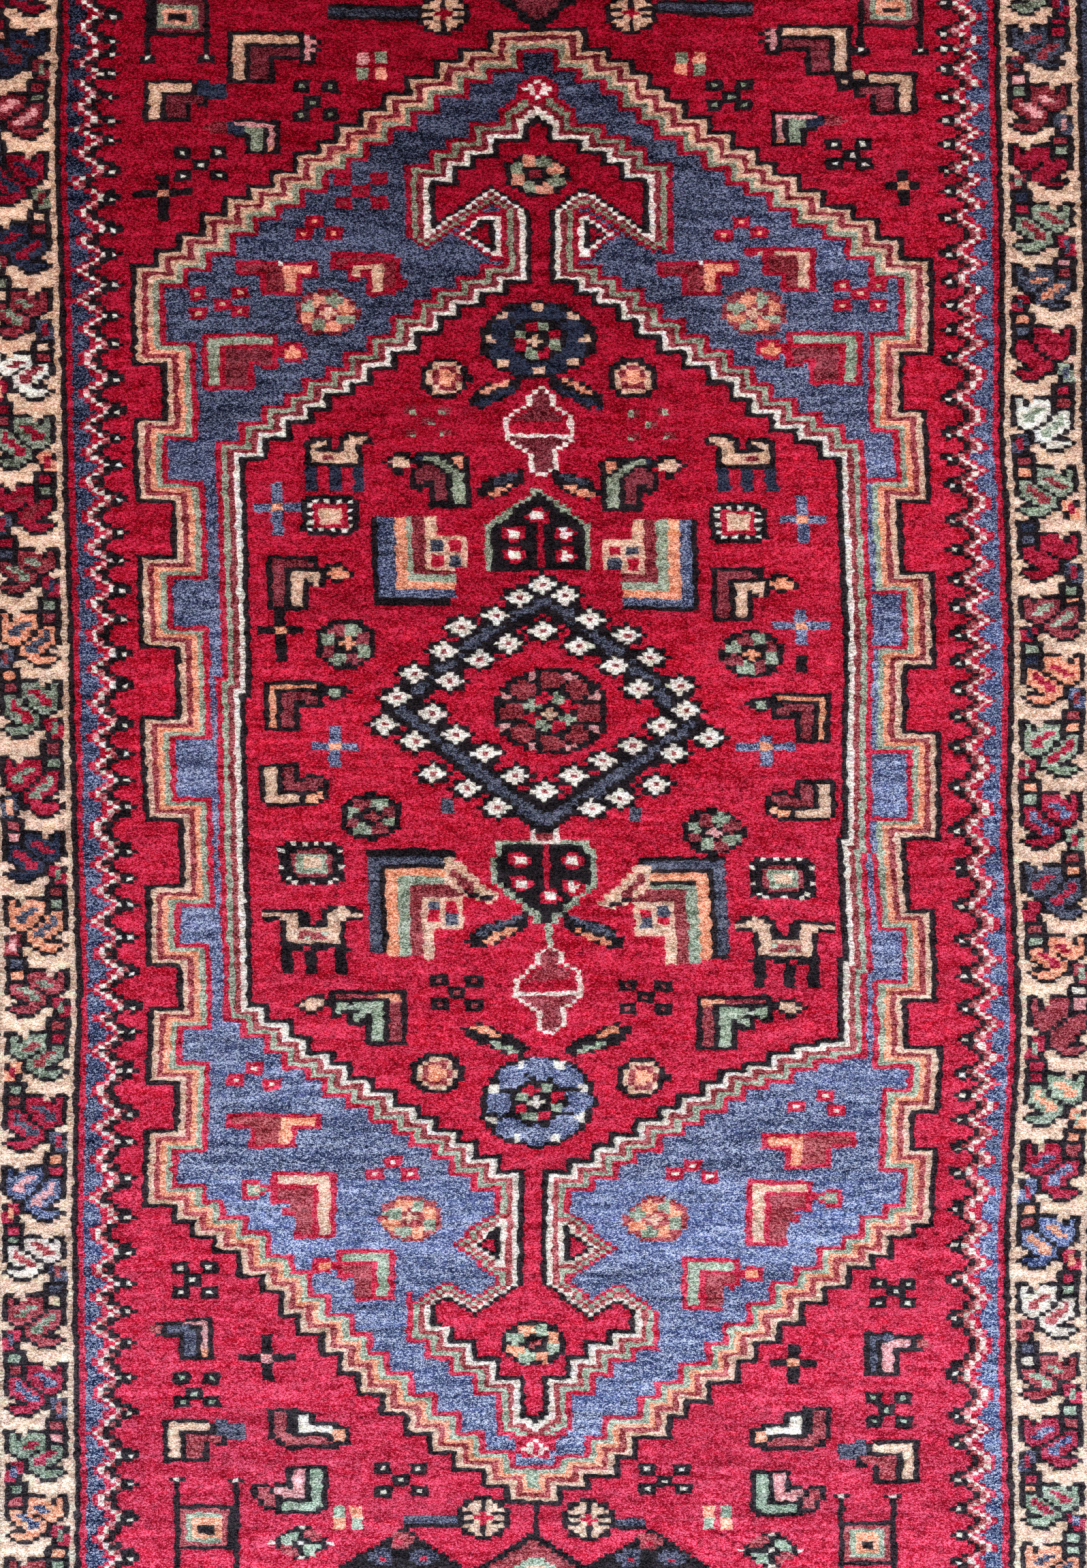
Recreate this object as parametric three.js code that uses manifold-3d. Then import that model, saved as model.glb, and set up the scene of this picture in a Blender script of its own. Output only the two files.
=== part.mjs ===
// Hand-knotted Anatolian village rug, lying flat. Millimetres, +Z up, +Y along the rug's length.
// The knotted body and its flat-woven ends are one cloth. An overcast cord runs down each long side,
// and the warp ends are gathered into a short fringe at each end.

import * as THREE from 'three';
import Module from 'manifold-3d';
import { mergeVertices } from 'three/addons/utils/BufferGeometryUtils.js';

const wasm = await Module();
wasm.setup();

// Driving dimensions of the knotted cloth.
const KNOT_WIDTH = 3.6;
const ROW_HEIGHT = 2.4;
const KNOTS_ACROSS = 206;
const ROWS_LONG = 542;
const RUG_THICKNESS = 9;
const PILE_EDGE_ROUND = 2.4;
const PILE_END_SLOPE = 0.4;

// The flat-woven band past the pile at each end.
const WOVEN_END_LENGTH = 14;
const WOVEN_THICKNESS = 2.6;
const WOVEN_EDGE_ROUND = 0.6;

// The overcast cord along each long side.
const CORD_WIDTH = 8;
const CORD_THICKNESS = 6.6;
const CORD_FOOT_SHARE = 0.62;
const CORD_SHOULDER_SHARE = 0.45;
const CORD_END_INSET = 3;

// The fringe of gathered warps at each end.
const STRANDS_PER_END = 72;
const STRAND_LENGTH = 44;
const STRAND_LENGTH_SPREAD = 5;
const STRAND_ROOT_WIDTH = 3.6;
const STRAND_TIP_WIDTH = 2.4;
const STRAND_ROOT_THICKNESS = 2;
const STRAND_TIP_THICKNESS = 1.3;
const STRAND_SWAY = 2.6;
const STRAND_STEPS = 3;
const STRIP_WIDTH = 3;
const STRIP_THICKNESS = 2.2;
const ROOT_BURIED = 1.5;

// Clear space between neighbouring pieces.
const GAP = 0.3;

// Sections along the long sides.
const SIDE_STEPS = 32;

const PILE_HALF_WIDTH = (KNOTS_ACROSS * KNOT_WIDTH) / 2;
const PILE_HALF_LENGTH = (ROWS_LONG * ROW_HEIGHT) / 2;
const CLOTH_HALF_LENGTH = PILE_HALF_LENGTH + WOVEN_END_LENGTH;

// The sides wander as the weaver's tension changed. Each row gives, at y along the rug,
// how far the left and the right side stand from their straight lines, + to the right.
const SIDE_WANDER = [
  { y: -CLOTH_HALF_LENGTH, left: 4.4, right: 2.4 },
  { y: -446, left: 5.4, right: 2.9 },
  { y: -363, left: 4.6, right: 0.4 },
  { y: -280, left: 3.7, right: 0 },
  { y: -197, left: 4.6, right: 5.4 },
  { y: -155, left: 5.8, right: 7.5 },
  { y: -72, left: 4.4, right: 3.7 },
  { y: -30, left: 3.3, right: 1.2 },
  { y: 52, left: 0.8, right: 3.3 },
  { y: 135, left: -1.2, right: 1.2 },
  { y: 218, left: -3.3, right: -3.3 },
  { y: 301, left: -5, right: -2.1 },
  { y: 385, left: -7.5, right: -4.2 },
  { y: 468, left: -5.8, right: -6.2 },
  { y: CLOTH_HALF_LENGTH, left: -6.6, right: -6.4 },
];

// The slope of a side at one row of the table, from its neighbours.
function wanderSlope(row, side) {
  const before = SIDE_WANDER[Math.max(row - 1, 0)];
  const after = SIDE_WANDER[Math.min(row + 1, SIDE_WANDER.length - 1)];
  return (after[side] - before[side]) / (after.y - before.y);
}

// How far one side stands from its straight line at y, on a smooth curve through the rows.
function wanderAt(y, side) {
  const above = SIDE_WANDER.findIndex((row) => row.y >= y);
  const upper = above > 0 ? above : above === 0 ? 1 : SIDE_WANDER.length - 1;
  const a = SIDE_WANDER[upper - 1];
  const b = SIDE_WANDER[upper];
  const span = b.y - a.y;
  const t = THREE.MathUtils.clamp((y - a.y) / span, 0, 1);
  const ease = t * t * (3 - 2 * t);
  const leaving = wanderSlope(upper - 1, side) * span * t * (1 - t) * (1 - t);
  const arriving = wanderSlope(upper, side) * span * t * t * (t - 1);
  return THREE.MathUtils.lerp(a[side], b[side], ease) + leaving + arriving;
}

// Stations along the rug's length, without the two ends.
const SIDE_STATIONS = Array.from({ length: SIDE_STEPS - 1 }, (_, i) =>
  THREE.MathUtils.lerp(-PILE_HALF_LENGTH, PILE_HALF_LENGTH, (i + 1) / SIDE_STEPS),
);

const leftEdge = (y) => -PILE_HALF_WIDTH + wanderAt(y, 'left');
const rightEdge = (y) => PILE_HALF_WIDTH + wanderAt(y, 'right');

// A closed solid through sections of equal point count that follow each other along +Y.
// Each section runs from its lower right point along the underside, then up and over.
function loftedSolid(sections) {
  const count = sections[0].length;
  const positions = sections.flat().flatMap((point) => point.toArray());
  const indices = [];
  for (let s = 0; s < sections.length - 1; s += 1) {
    for (let i = 0; i < count; i += 1) {
      const next = (i + 1) % count;
      const a = s * count + i;
      const b = s * count + next;
      const c = a + count;
      const d = b + count;
      indices.push(a, b, d, a, d, c);
    }
  }
  const lastStart = (sections.length - 1) * count;
  for (let i = 1; i < count - 1; i += 1) {
    indices.push(0, i + 1, i);
    indices.push(lastStart, lastStart + i, lastStart + i + 1);
  }
  const geometry = new THREE.BufferGeometry();
  geometry.setAttribute('position', new THREE.Float32BufferAttribute(positions, 3));
  geometry.setIndex(indices);
  return geometry;
}

// A flat-bottomed section across the rug with its two upper edges rounded off by one bevel.
function slabSection(y, left, right, thickness, round) {
  const rounded = thickness - round;
  return [
    new THREE.Vector3(right, y, 0),
    new THREE.Vector3(left, y, 0),
    new THREE.Vector3(left, y, rounded),
    new THREE.Vector3(left + round, y, thickness),
    new THREE.Vector3(right - round, y, thickness),
    new THREE.Vector3(right, y, rounded),
  ];
}

// An eight-sided cord section that rests on a flat foot.
function cordSection(y, centre) {
  const half = CORD_WIDTH / 2;
  const foot = half * CORD_FOOT_SHARE;
  const crown = half * CORD_SHOULDER_SHARE;
  const lower = CORD_THICKNESS * 0.3;
  const upper = CORD_THICKNESS * 0.7;
  return [
    new THREE.Vector3(centre + foot, y, 0),
    new THREE.Vector3(centre - foot, y, 0),
    new THREE.Vector3(centre - half, y, lower),
    new THREE.Vector3(centre - half, y, upper),
    new THREE.Vector3(centre - crown, y, CORD_THICKNESS),
    new THREE.Vector3(centre + crown, y, CORD_THICKNESS),
    new THREE.Vector3(centre + half, y, upper),
    new THREE.Vector3(centre + half, y, lower),
  ];
}

// The knotted cloth with its thin woven ends: the thickness steps up where the pile begins.
function rugBody() {
  const endSteps = [
    { y: CLOTH_HALF_LENGTH, thickness: WOVEN_THICKNESS, round: WOVEN_EDGE_ROUND },
    { y: PILE_HALF_LENGTH, thickness: WOVEN_THICKNESS, round: WOVEN_EDGE_ROUND },
    {
      y: PILE_HALF_LENGTH - PILE_END_SLOPE,
      thickness: RUG_THICKNESS - PILE_EDGE_ROUND,
      round: WOVEN_EDGE_ROUND,
    },
    {
      y: PILE_HALF_LENGTH - PILE_END_SLOPE - PILE_EDGE_ROUND,
      thickness: RUG_THICKNESS,
      round: PILE_EDGE_ROUND,
    },
  ];
  const lowerEnd = endSteps.map((step) => ({ ...step, y: -step.y }));
  const middle = SIDE_STATIONS.map((y) => ({
    y,
    thickness: RUG_THICKNESS,
    round: PILE_EDGE_ROUND,
  }));
  const steps = [...lowerEnd, ...middle, ...endSteps.reverse()];
  const sections = steps.map((step) =>
    slabSection(step.y, leftEdge(step.y), rightEdge(step.y), step.thickness, step.round),
  );
  return loftedSolid(sections);
}

// One side's overcast cord, a gap away from the cloth's edge all along.
function sideCord(side) {
  const end = CLOTH_HALF_LENGTH - CORD_END_INSET;
  const rows = [-end, ...SIDE_STATIONS, end];
  const offset = GAP + CORD_WIDTH / 2;
  const centre = (y) => (side === 'left' ? leftEdge(y) - offset : rightEdge(y) + offset);
  return loftedSolid(rows.map((y) => cordSection(y, centre(y))));
}

// A solid for joining, from a closed geometry whose corners are shared.
function solidFrom(geometry) {
  const shared = mergeVertices(geometry);
  return new wasm.Manifold(
    new wasm.Mesh({
      numProp: 3,
      vertProperties: new Float32Array(shared.attributes.position.array),
      triVerts: new Uint32Array(shared.index.array),
    }),
  );
}

function geometryFrom(solid) {
  const mesh = solid.getMesh();
  const geometry = new THREE.BufferGeometry();
  geometry.setAttribute('position', new THREE.BufferAttribute(mesh.vertProperties, 3));
  geometry.setIndex(new THREE.BufferAttribute(mesh.triVerts, 1));
  return geometry;
}

// One gathered bundle of warps, lying level from inside the strip to its cut tip.
// Lengths and sways differ from strand to strand by two slow waves.
function strand(index, rootX, rootY, outward) {
  const length = STRAND_LENGTH + STRAND_LENGTH_SPREAD * Math.sin(index * 2.3 + outward);
  const sway = STRAND_SWAY * Math.sin(index * 0.61 + outward * 1.3);
  const curl = STRAND_SWAY * 0.35 * Math.sin(index * 1.7 + 0.5);
  const sections = [];
  for (let step = 0; step <= STRAND_STEPS; step += 1) {
    const share = step / STRAND_STEPS;
    const half = THREE.MathUtils.lerp(STRAND_ROOT_WIDTH, STRAND_TIP_WIDTH, share) / 2;
    const thickness = THREE.MathUtils.lerp(STRAND_ROOT_THICKNESS, STRAND_TIP_THICKNESS, share);
    const x = rootX + sway * share * share + curl * Math.sin(share * Math.PI);
    const y = rootY + outward * (share * length - ROOT_BURIED);
    sections.push([
      new THREE.Vector3(x + half, y, 0),
      new THREE.Vector3(x - half, y, 0),
      new THREE.Vector3(x - half * 0.7, y, thickness),
      new THREE.Vector3(x + half * 0.7, y, thickness),
    ]);
  }
  return loftedSolid(outward > 0 ? sections : sections.reverse());
}

// The fringe of one end: a narrow strip of twined weft with the strands rooted in it.
function fringe(outward) {
  const innerY = outward * (CLOTH_HALF_LENGTH + GAP);
  const outerY = innerY + outward * STRIP_WIDTH;
  const ends = [innerY, outerY].sort((a, b) => a - b);
  const left = leftEdge(innerY);
  const right = rightEdge(innerY);
  const strip = loftedSolid(
    ends.map((y) => slabSection(y, left, right, STRIP_THICKNESS, WOVEN_EDGE_ROUND)),
  );
  let joined = solidFrom(strip);
  const pitch = (right - left) / STRANDS_PER_END;
  for (let i = 0; i < STRANDS_PER_END; i += 1) {
    const rootX = left + (i + 0.5) * pitch;
    joined = joined.add(solidFrom(strand(i, rootX, outerY, outward)));
  }
  return geometryFrom(joined);
}

function woolMaterial(color) {
  return new THREE.MeshStandardMaterial({ color, roughness: 0.95, metalness: 0 });
}

const PIECES = [
  { name: 'rug_body', geometry: rugBody(), color: 0x8c1024 },
  { name: 'selvedge_left', geometry: sideCord('left'), color: 0x1c2029 },
  { name: 'selvedge_right', geometry: sideCord('right'), color: 0x1c2029 },
  { name: 'fringe_top', geometry: fringe(1), color: 0xcdbb98 },
  { name: 'fringe_bottom', geometry: fringe(-1), color: 0xcdbb98 },
];

const rug = new THREE.Group();
for (const piece of PIECES) {
  const mesh = new THREE.Mesh(piece.geometry, woolMaterial(piece.color));
  mesh.name = piece.name;
  rug.add(mesh);
}

// The origin is under the middle of the whole rug, fringe included.
const middle = new THREE.Box3().setFromObject(rug).getCenter(new THREE.Vector3());
rug.position.set(-middle.x, -middle.y, 0);

const part = new THREE.Group();
part.add(rug);

export default part;
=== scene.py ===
import math

import bpy
import numpy as np
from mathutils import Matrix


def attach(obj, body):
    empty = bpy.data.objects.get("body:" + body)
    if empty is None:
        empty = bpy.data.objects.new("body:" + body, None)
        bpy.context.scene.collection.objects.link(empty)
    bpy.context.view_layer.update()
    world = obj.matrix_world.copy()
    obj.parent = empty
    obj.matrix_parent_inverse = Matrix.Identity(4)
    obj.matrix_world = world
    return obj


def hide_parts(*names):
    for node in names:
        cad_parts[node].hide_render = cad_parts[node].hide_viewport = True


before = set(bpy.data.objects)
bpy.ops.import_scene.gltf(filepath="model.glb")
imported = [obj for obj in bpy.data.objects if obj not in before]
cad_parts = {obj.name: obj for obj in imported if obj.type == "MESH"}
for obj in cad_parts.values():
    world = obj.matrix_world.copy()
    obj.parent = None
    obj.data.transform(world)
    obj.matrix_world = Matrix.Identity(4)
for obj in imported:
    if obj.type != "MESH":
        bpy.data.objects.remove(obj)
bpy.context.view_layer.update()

# Sizes of the weave, as in the solids, in metres.
KNOT = 0.0036
ROW = 0.0024
THICK = 0.009
PILE_LONG = 0.6504
CLOTH_LONG = 0.6644
chance = np.random.default_rng(41)

COLS, ROWS = 206, 542

# One letter for each dyed yarn.
DYE_LETTERS = "RKCWDMGPLBSN"
DYE = {letter: number for number, letter in enumerate(DYE_LETTERS)}

# Places are in knots: c counts columns right of the middle, r counts rows below it.
MID_C, MID_R = COLS // 2, ROWS // 2
column_c = np.arange(COLS) - MID_C + 0.5
row_r = np.arange(ROWS) - MID_R + 0.5
knot_c, knot_r = np.meshgrid(column_c, row_r)
cloth = np.full((ROWS, COLS), DYE["R"])
# Half the width and length of the field inside its borders.
FIELD_C, FIELD_R = 78, 229


def paint(mask, letter):
    cloth[mask] = DYE[letter]


def set_knot(c, r, letter):
    cloth[int(np.floor(r + MID_R)), int(np.floor(c + MID_C))] = DYE[letter]


def inside(points):
    # The knots whose middles lie within an outline.
    mask = np.zeros(cloth.shape, bool)
    for (ca, ra), (cb, rb) in zip(points, points[1:] + points[:1]):
        if ra == rb:
            continue
        crosses = (ra > knot_r) != (rb > knot_r)
        mask ^= crosses & (knot_c < (cb - ca) * (knot_r - ra) / (rb - ra) + ca)
    return mask


def grown(mask, times=1, corners=True):
    # Spreads by one knot each way; without corners a slanting edge stays a single line of dots.
    for turn in range(times):
        wide = mask.copy()
        wide[:, 1:] |= mask[:, :-1]
        wide[:, :-1] |= mask[:, 1:]
        tall = wide.copy()
        start = wide if corners else mask
        tall[1:] |= start[:-1]
        tall[:-1] |= start[1:]
        mask = tall
    return mask


def shrunk(mask, times=1, corners=True):
    return ~grown(~mask, times, corners)


def rows_of(art):
    # The rows of a chart are its words; a star and a number repeat a row.
    rows = []
    for word in art.split():
        text, star, times = word.partition("*")
        rows += [text] * int(times or 1)
    return rows


def chart(art, c, r, flip=False, swap=""):
    # A small motif given as a chart, set with its middle at c, r. A dot leaves the knot as it is.
    rows = rows_of(art)
    dyes = dict(zip(swap[::2], swap[1::2]))
    height = len(rows)
    width = max(len(row) for row in rows)
    left = int(round(c - width / 2 + MID_C))
    top = int(round(r - height / 2 + MID_R))
    for down, text in enumerate(rows):
        text = text.ljust(width, ".")
        if flip:
            text = text[::-1]
        for along, letter in enumerate(text):
            if letter == ".":
                continue
            y, x = top + down, left + along
            if 0 <= y < ROWS and 0 <= x < COLS:
                cloth[y, x] = DYE[dyes.get(letter, letter)]


def stepped(sides, start):
    # Corners of a side made of steps: each entry is a column and the row it runs to.
    points = []
    row = start
    for c, end in sides:
        points += [(c, row), (c, end)]
        row = end
    return points


# The hand that draws: a mirror line for the right half, and a shift down.
hand = {"axis": None, "down": 0.0}


def placed(c, r):
    if hand["axis"] is not None:
        c = 2 * hand["axis"] - c
    return c, r + hand["down"]


def bar(letter, ca, ra, cb, rb):
    ca, ra = placed(ca, ra)
    cb, rb = placed(cb, rb)
    across = (knot_c > min(ca, cb)) & (knot_c < max(ca, cb))
    paint(across & (knot_r > ra) & (knot_r < rb), letter)


def bars(letter, *places):
    for place in places:
        bar(letter, *place)


def four_squares(c, r, step_c, step_r, wide, tall, dyes):
    # Two rows of two small squares, from the upper left corner of the first.
    for n, letter in enumerate(dyes):
        left, top = c + n % 2 * step_c, r + n // 2 * step_r
        bar(letter, left, top, left + wide, top + tall)


def block(letter, c, r, half_c, half_r):
    bar(letter, c - half_c, r - half_r, c + half_c, r + half_r)


def shape(letter, points):
    paint(inside([placed(c, r) for c, r in points]), letter)


def oval(letter, c, r, half_c, half_r):
    c, r = placed(c, r)
    paint(((knot_c - c) / half_c) ** 2 + ((knot_r - r) / half_r) ** 2 < 1, letter)


def run(letter, start, end):
    # A line of single knots, one for each row or column that it passes.
    (ca, ra), (cb, rb) = placed(*start), placed(*end)
    count = int(max(abs(cb - ca), abs(rb - ra)) * 1.6) + 2
    for share in np.linspace(0, 1, count):
        set_knot(ca + (cb - ca) * share, ra + (rb - ra) * share, letter)


def twice(draw, axis, down=0.0):
    # Draws a group and then its mirror image.
    draw()
    hand.update(axis=axis, down=down)
    draw()
    hand.update(axis=None, down=0.0)


def both(art, cl, rl, cr, rr, swap="", swap_right=None):
    # One motif on the left and its mirror image on the right.
    chart(art, cl, rl, False, swap)
    chart(art, cr, rr, True, swap if swap_right is None else swap_right)


# Edge of the blue medallion, as steps of four knots by four rows.
MEDALLION_LEFT = [
    (-6.5, -183), (-11, -179.5), (-15.3, -176), (-20, -172), (-24, -168), (-28.7, -164), (-32, -160),
    (-35.5, -157), (-39, -152), (-43.2, -148), (-47, -144.5), (-51.5, -140.5), (-55.5, -136),
    (-59.5, -131.5), (-63.3, -128), (-67, -102), (-62, -89), (-67, -66.5), (-61.7, -53.5), (-67, -29.5),
    (-61.7, -13), (-67, 14.5), (-61.5, 30.5), (-67, 51), (-62, 61), (-67, 81.5), (-62.5, 92), (-67, 112.5),
    (-62.5, 116.5), (-59, 120.5), (-55, 124.5), (-51, 130), (-47.5, 134.5), (-44.5, 140), (-41, 145),
    (-37, 150), (-34, 155), (-31, 160.5), (-27.5, 165.5), (-23.5, 170), (-19.3, 175), (-15.3, 180.5),
    (-10.8, 184), (-6.8, 188)]
MEDALLION_RIGHT = [
    (9.7, -183), (13.3, -180), (17.2, -176.5), (21, -173), (23.8, -169.5), (26.7, -166), (30.3, -162),
    (34.2, -158), (38.2, -154), (42, -150.5), (46, -147), (50, -143), (54.6, -139.5), (58.6, -135),
    (62.6, -130), (67.2, -105), (62.3, -91), (66.8, -67), (61.5, -49.5), (66.8, -25.3), (61.8, -9),
    (67.1, 18.7), (61.7, 36), (65.8, 60), (60.7, 71), (66.3, 88), (62.3, 97), (66.8, 117), (63.5, 120.5),
    (59.7, 125), (56.5, 128.5), (53, 133.5), (49, 137), (44.5, 142), (41, 147), (37, 152), (33.5, 157),
    (29, 162), (25, 166.5), (21.3, 171), (16, 176), (12.3, 181.5), (7.8, 184.5), (3, 188)]
medallion = inside([(c - 0.5, r) for c, r in stepped(MEDALLION_LEFT, -188)]
                   + [(c + 0.5, r) for c, r in stepped(MEDALLION_RIGHT, -188)][::-1])
for depth, letter in enumerate("KCDPGRB"):
    band = shrunk(medallion, depth)
    paint(band, letter)
    # Towards the head the peach line is mostly cream.
    if letter == "P":
        paint(band & (knot_r < -112) & ((knot_r < -166) | (knot_r > -156) | (knot_c > 0)), "C")

# White-edged red shape inside it: a roof, a neck, a long hexagon, a neck and a foot.
INNER_LEFT = [(-1.2, -160.5), (-6.3, -157), (-10.3, -153.5), (-13.9, -150), (-17.8, -136)]
INNER_RIGHT = [(4.5, -160.5), (9.3, -158), (13.2, -154.5), (16.8, -151), (20.6, -136)]
HEX_LEFT = [
    (-5.3, -122), (-9, -119), (-13, -115.7), (-16.7, -111.5), (-20.3, -107), (-24.3, -103), (-28, -99),
    (-31.5, -95.5), (-35, -91.5), (-38.7, -88.5), (-42.7, -84.5), (-46.5, -80), (-50.8, -20), (-51, 30),
    (-51.5, 62.5), (-48, 66.5), (-44.3, 70.5), (-41, 74), (-37.5, 77.5), (-34, 81.5), (-30.3, 84.5),
    (-26.8, 88), (-22.7, 91.5), (-19, 94.5), (-15.7, 97.5), (-12, 101), (-8.3, 105), (-4.2, 133)]
HEX_RIGHT = [
    (8.3, -122), (11.7, -119), (15.3, -115), (18.7, -111), (22.8, -106.5), (26.7, -103), (30.3, -98.5),
    (34.2, -94.5), (38, -90.5), (41.7, -87), (45.5, -84), (49.3, -79.5), (52.2, -20), (53, 20), (51.7, 50),
    (50.7, 71), (46.7, 72.3), (42.5, 74.5), (38.5, 77), (35, 79.5), (31, 82.5), (27.5, 85.5), (24, 88.5),
    (20.5, 91.5), (17, 95), (13, 98), (9.3, 102), (5.8, 105), (1.8, 133)]
FOOT_LEFT = [(-19.5, 144.5), (-16, 148.5), (-12.2, 152.5), (-8.5, 157), (-4.7, 166)]
FOOT_RIGHT = [(16.6, 145), (12.7, 148.5), (9, 152.5), (5.5, 157), (1.5, 166)]
left_side = ([(0, -166)] + stepped(INNER_LEFT, -165) + [(-17.3, -134.6), (-6.1, -145.9), (-1.5, -141.5)]
             + [(-1.5, -125)] + stepped(HEX_LEFT, -125) + [(-4.2, 131.2), (-10.8, 138.2), (-15.6, 133.4)]
             + [(-19.5, 137.3)] + stepped(FOOT_LEFT, 137.3))
right_side = ([(3.5, -166)] + stepped(INNER_RIGHT, -165) + [(20, -134.2), (8.6, -145.9), (4.2, -141.5)]
              + [(4.2, -125.5)] + stepped(HEX_RIGHT, -125) + [(1.8, 131.4), (7.8, 139.3), (12.5, 134.5)]
              + [(16.6, 138.4)] + stepped(FOOT_RIGHT, 138.4))
red_inside = inside([(1.5, -168)] + [(c + 0.5, r) for c, r in right_side] + [(-1.5, 169)]
                    + [(c - 0.5, r) for c, r in left_side][::-1])
upper_darts = (inside([(-5, -139.6), (-8.6, -139.6), (-12.3, -135.4), (-6.6, -129.6), (-5, -129.6)])
               | inside([(7.6, -139.6), (10.4, -139.6), (14.2, -135.7), (8.8, -129.6), (7.6, -129.6)]))
lower_darts = (inside([(-6, 115.3), (-7.2, 115.3), (-11.7, 121.3), (-7.4, 126.7), (-6, 126.7)])
               | inside([(3.1, 115.7), (4.2, 115.7), (9.7, 122.4), (5.6, 126.7), (3.1, 126.7)]))
slanting = ((knot_r > -148) & (knot_r < -127.5) | (knot_r > 111) & (knot_r < 143.2)) & (abs(knot_c) < 22)
clear_of_edge = shrunk(medallion, 6)


def lines_around(area, reach, dyes):
    # Lines of one knot each outside an area, the furthest first.
    for steps in range(reach, 0, -1):
        spread = np.where(slanting, grown(area, steps, False), grown(area, steps))
        paint(spread & clear_of_edge, dyes[steps - 1])


def lines_within(area, dyes):
    for depth, letter in enumerate(dyes):
        paint(np.where(slanting, shrunk(area, depth, False), shrunk(area, depth)), letter)


lines_around(red_inside | lower_darts, 3, "DGR")
paint(grown(upper_darts, 1, False) & ~red_inside, "R")
lines_within(red_inside, "WKR")
lines_within(upper_darts, "WKR")
lines_within(lower_darts, "WKR")

# The blue ground is a thin stripe between the two sets of lines along the right side.
red_line = cloth == DYE["R"]
before, after = np.roll(red_line, 1, 1), np.roll(red_line, -1, 1)
doubled = red_line & before & ~np.roll(red_line, 2, 1) & ~after
trebled = red_line & before & after & ~np.roll(red_line, 2, 1) & ~np.roll(red_line, -2, 1)
narrow = (doubled | trebled) & (knot_c > 50) & (knot_c < 58) & (abs(knot_r) < 108)
paint(narrow & shrunk(medallion, 4) & ~red_inside, "B")

# Serrated side edges of the field: tip rows read from the photo, finished evenly past its ends.
LEFT_TIPS = [
    -191, -185, -182, -176.5, -171, -165, -160, -152, -145, -137, -130.5, -122.5, -114.7, -107.5, -99, -91,
    -83.5, -76.5, -68, -59.5, -52.5, -45, -37.5, -29, -21, -11, -3.5, 3.5, 10.5, 21.5, 28.5, 35.5, 43.5, 52,
    61, 67.5, 77.5, 88, 95.5, 104.5, 114.5, 123, 131.5, 138.5, 146.5, 155.5, 164, 175, 182.5, 191, 201]
RIGHT_TIPS = [
    -194.5, -187, -183, -177.5, -171, -164.5, -158.5, -152, -146.5, -140, -131, -124, -117.5, -111.5,
    -104.5, -94, -85, -79, -72, -63, -55.5, -48, -41, -34, -27, -20, -13, -5, 5, 16, 25.5, 35, 44, 53.5, 61,
    69.5, 78, 83, 89.5, 97, 103, 112.5, 121.5, 130, 140, 154.5, 165, 172, 181, 188.5, 195.5, 202]


def serrated(tips, side, peak, foot):
    # A zigzag of one knot a row: from the border in, blue, crimson, a white dot, dark crimson, black.
    tips = [tips[0] - 7.5 * n for n in (4, 3, 2, 1)] + tips + [tips[-1] + 7.5 * n for n in (1, 2, 3)]
    middles = [(a + b) / 2 for a, b in zip(tips, tips[1:])]
    rows = sorted([(t, peak) for t in tips] + [(m, foot) for m in middles])
    edge = np.interp(row_r, [r for r, c in rows], [c for r, c in rows])
    for row, r in enumerate(row_r):
        if abs(r) > FIELD_R:
            continue
        dot = np.floor(edge[row]) + 0.5
        for c in np.arange(dot + 1, FIELD_C, 1.0):
            set_knot(side * c, r, "B")
        rim = "R" if row % 2 and edge[row] < peak + 0.5 else "B"
        black = "K" if edge[row] < peak + 1.6 else "R"
        shade = "K" if row % 2 and side < 0 else "D"
        for away, letter in ((2, rim), (1, "R"), (0, "WWWL"[row % 4]), (-1, shade), (-2, "K"), (-3, black)):
            set_knot(side * (dot + away), r, letter)
    head = np.floor(peak - 2) + 0.5
    for r in tips:
        if abs(r) > FIELD_R - 1:
            continue
        for out, down in ((1, 0), (0, 1), (0, -1), (-1, 0)):
            set_knot(side * (head + out), r + down, "K")
        set_knot(side * head, r, "W")


serrated(LEFT_TIPS, -1, 72.4, 76.1)
serrated(RIGHT_TIPS, 1, 72.3, 75.9)


def guard_lines():
    # Straight lines along the sides and ends, from the field outwards: crimson, black, the cream ground of
    # the main border, black, blue, red and black.
    for ca, cb, letter in ((78, 79, "R"), (79, 80, "K"), (80, 103, "C"), (93, 94.4, "K"),
                           (94.4, 99, "S"), (99, 100, "R"), (100, 103.5, "N")):
        paint((abs(knot_c) > ca) & (abs(knot_c) < cb), letter)
    for ra, rb, letter in ((229, 230.5, "R"), (230.5, 232, "K"), (232, 271, "C"), (252.6, 254.6, "K"),
                           (254.6, 262, "S"), (262, 263.6, "R"), (263.6, 272, "N")):
        reach = FIELD_C + (ra - FIELD_R) / 1.5
        paint((abs(knot_r) > ra) & (abs(knot_r) < rb) & (abs(knot_c) < reach), letter)


# One leaf of the main border: A is the leaf, T its stripe, Q and q two squares, F and f the small flower.
LEAF = rows_of("""
KKKKCCCCCCC
KQQKCCCCCCC*2
KKKKKKKCCKK
KqqKAAACKAK
KqqKAAAAKAK
KKKKATTAAAK
KAAKAATTAAK
KATAKAATTAK
KATTAKAAAAK
KAATTAKAAKC
CKAATTAKKCC
CCKATTAKFFK
CKKKAAAKFfK
KAAAAAKKFfF
CKAAAKCCKfF
CCKKKCCCKFF""")


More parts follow.
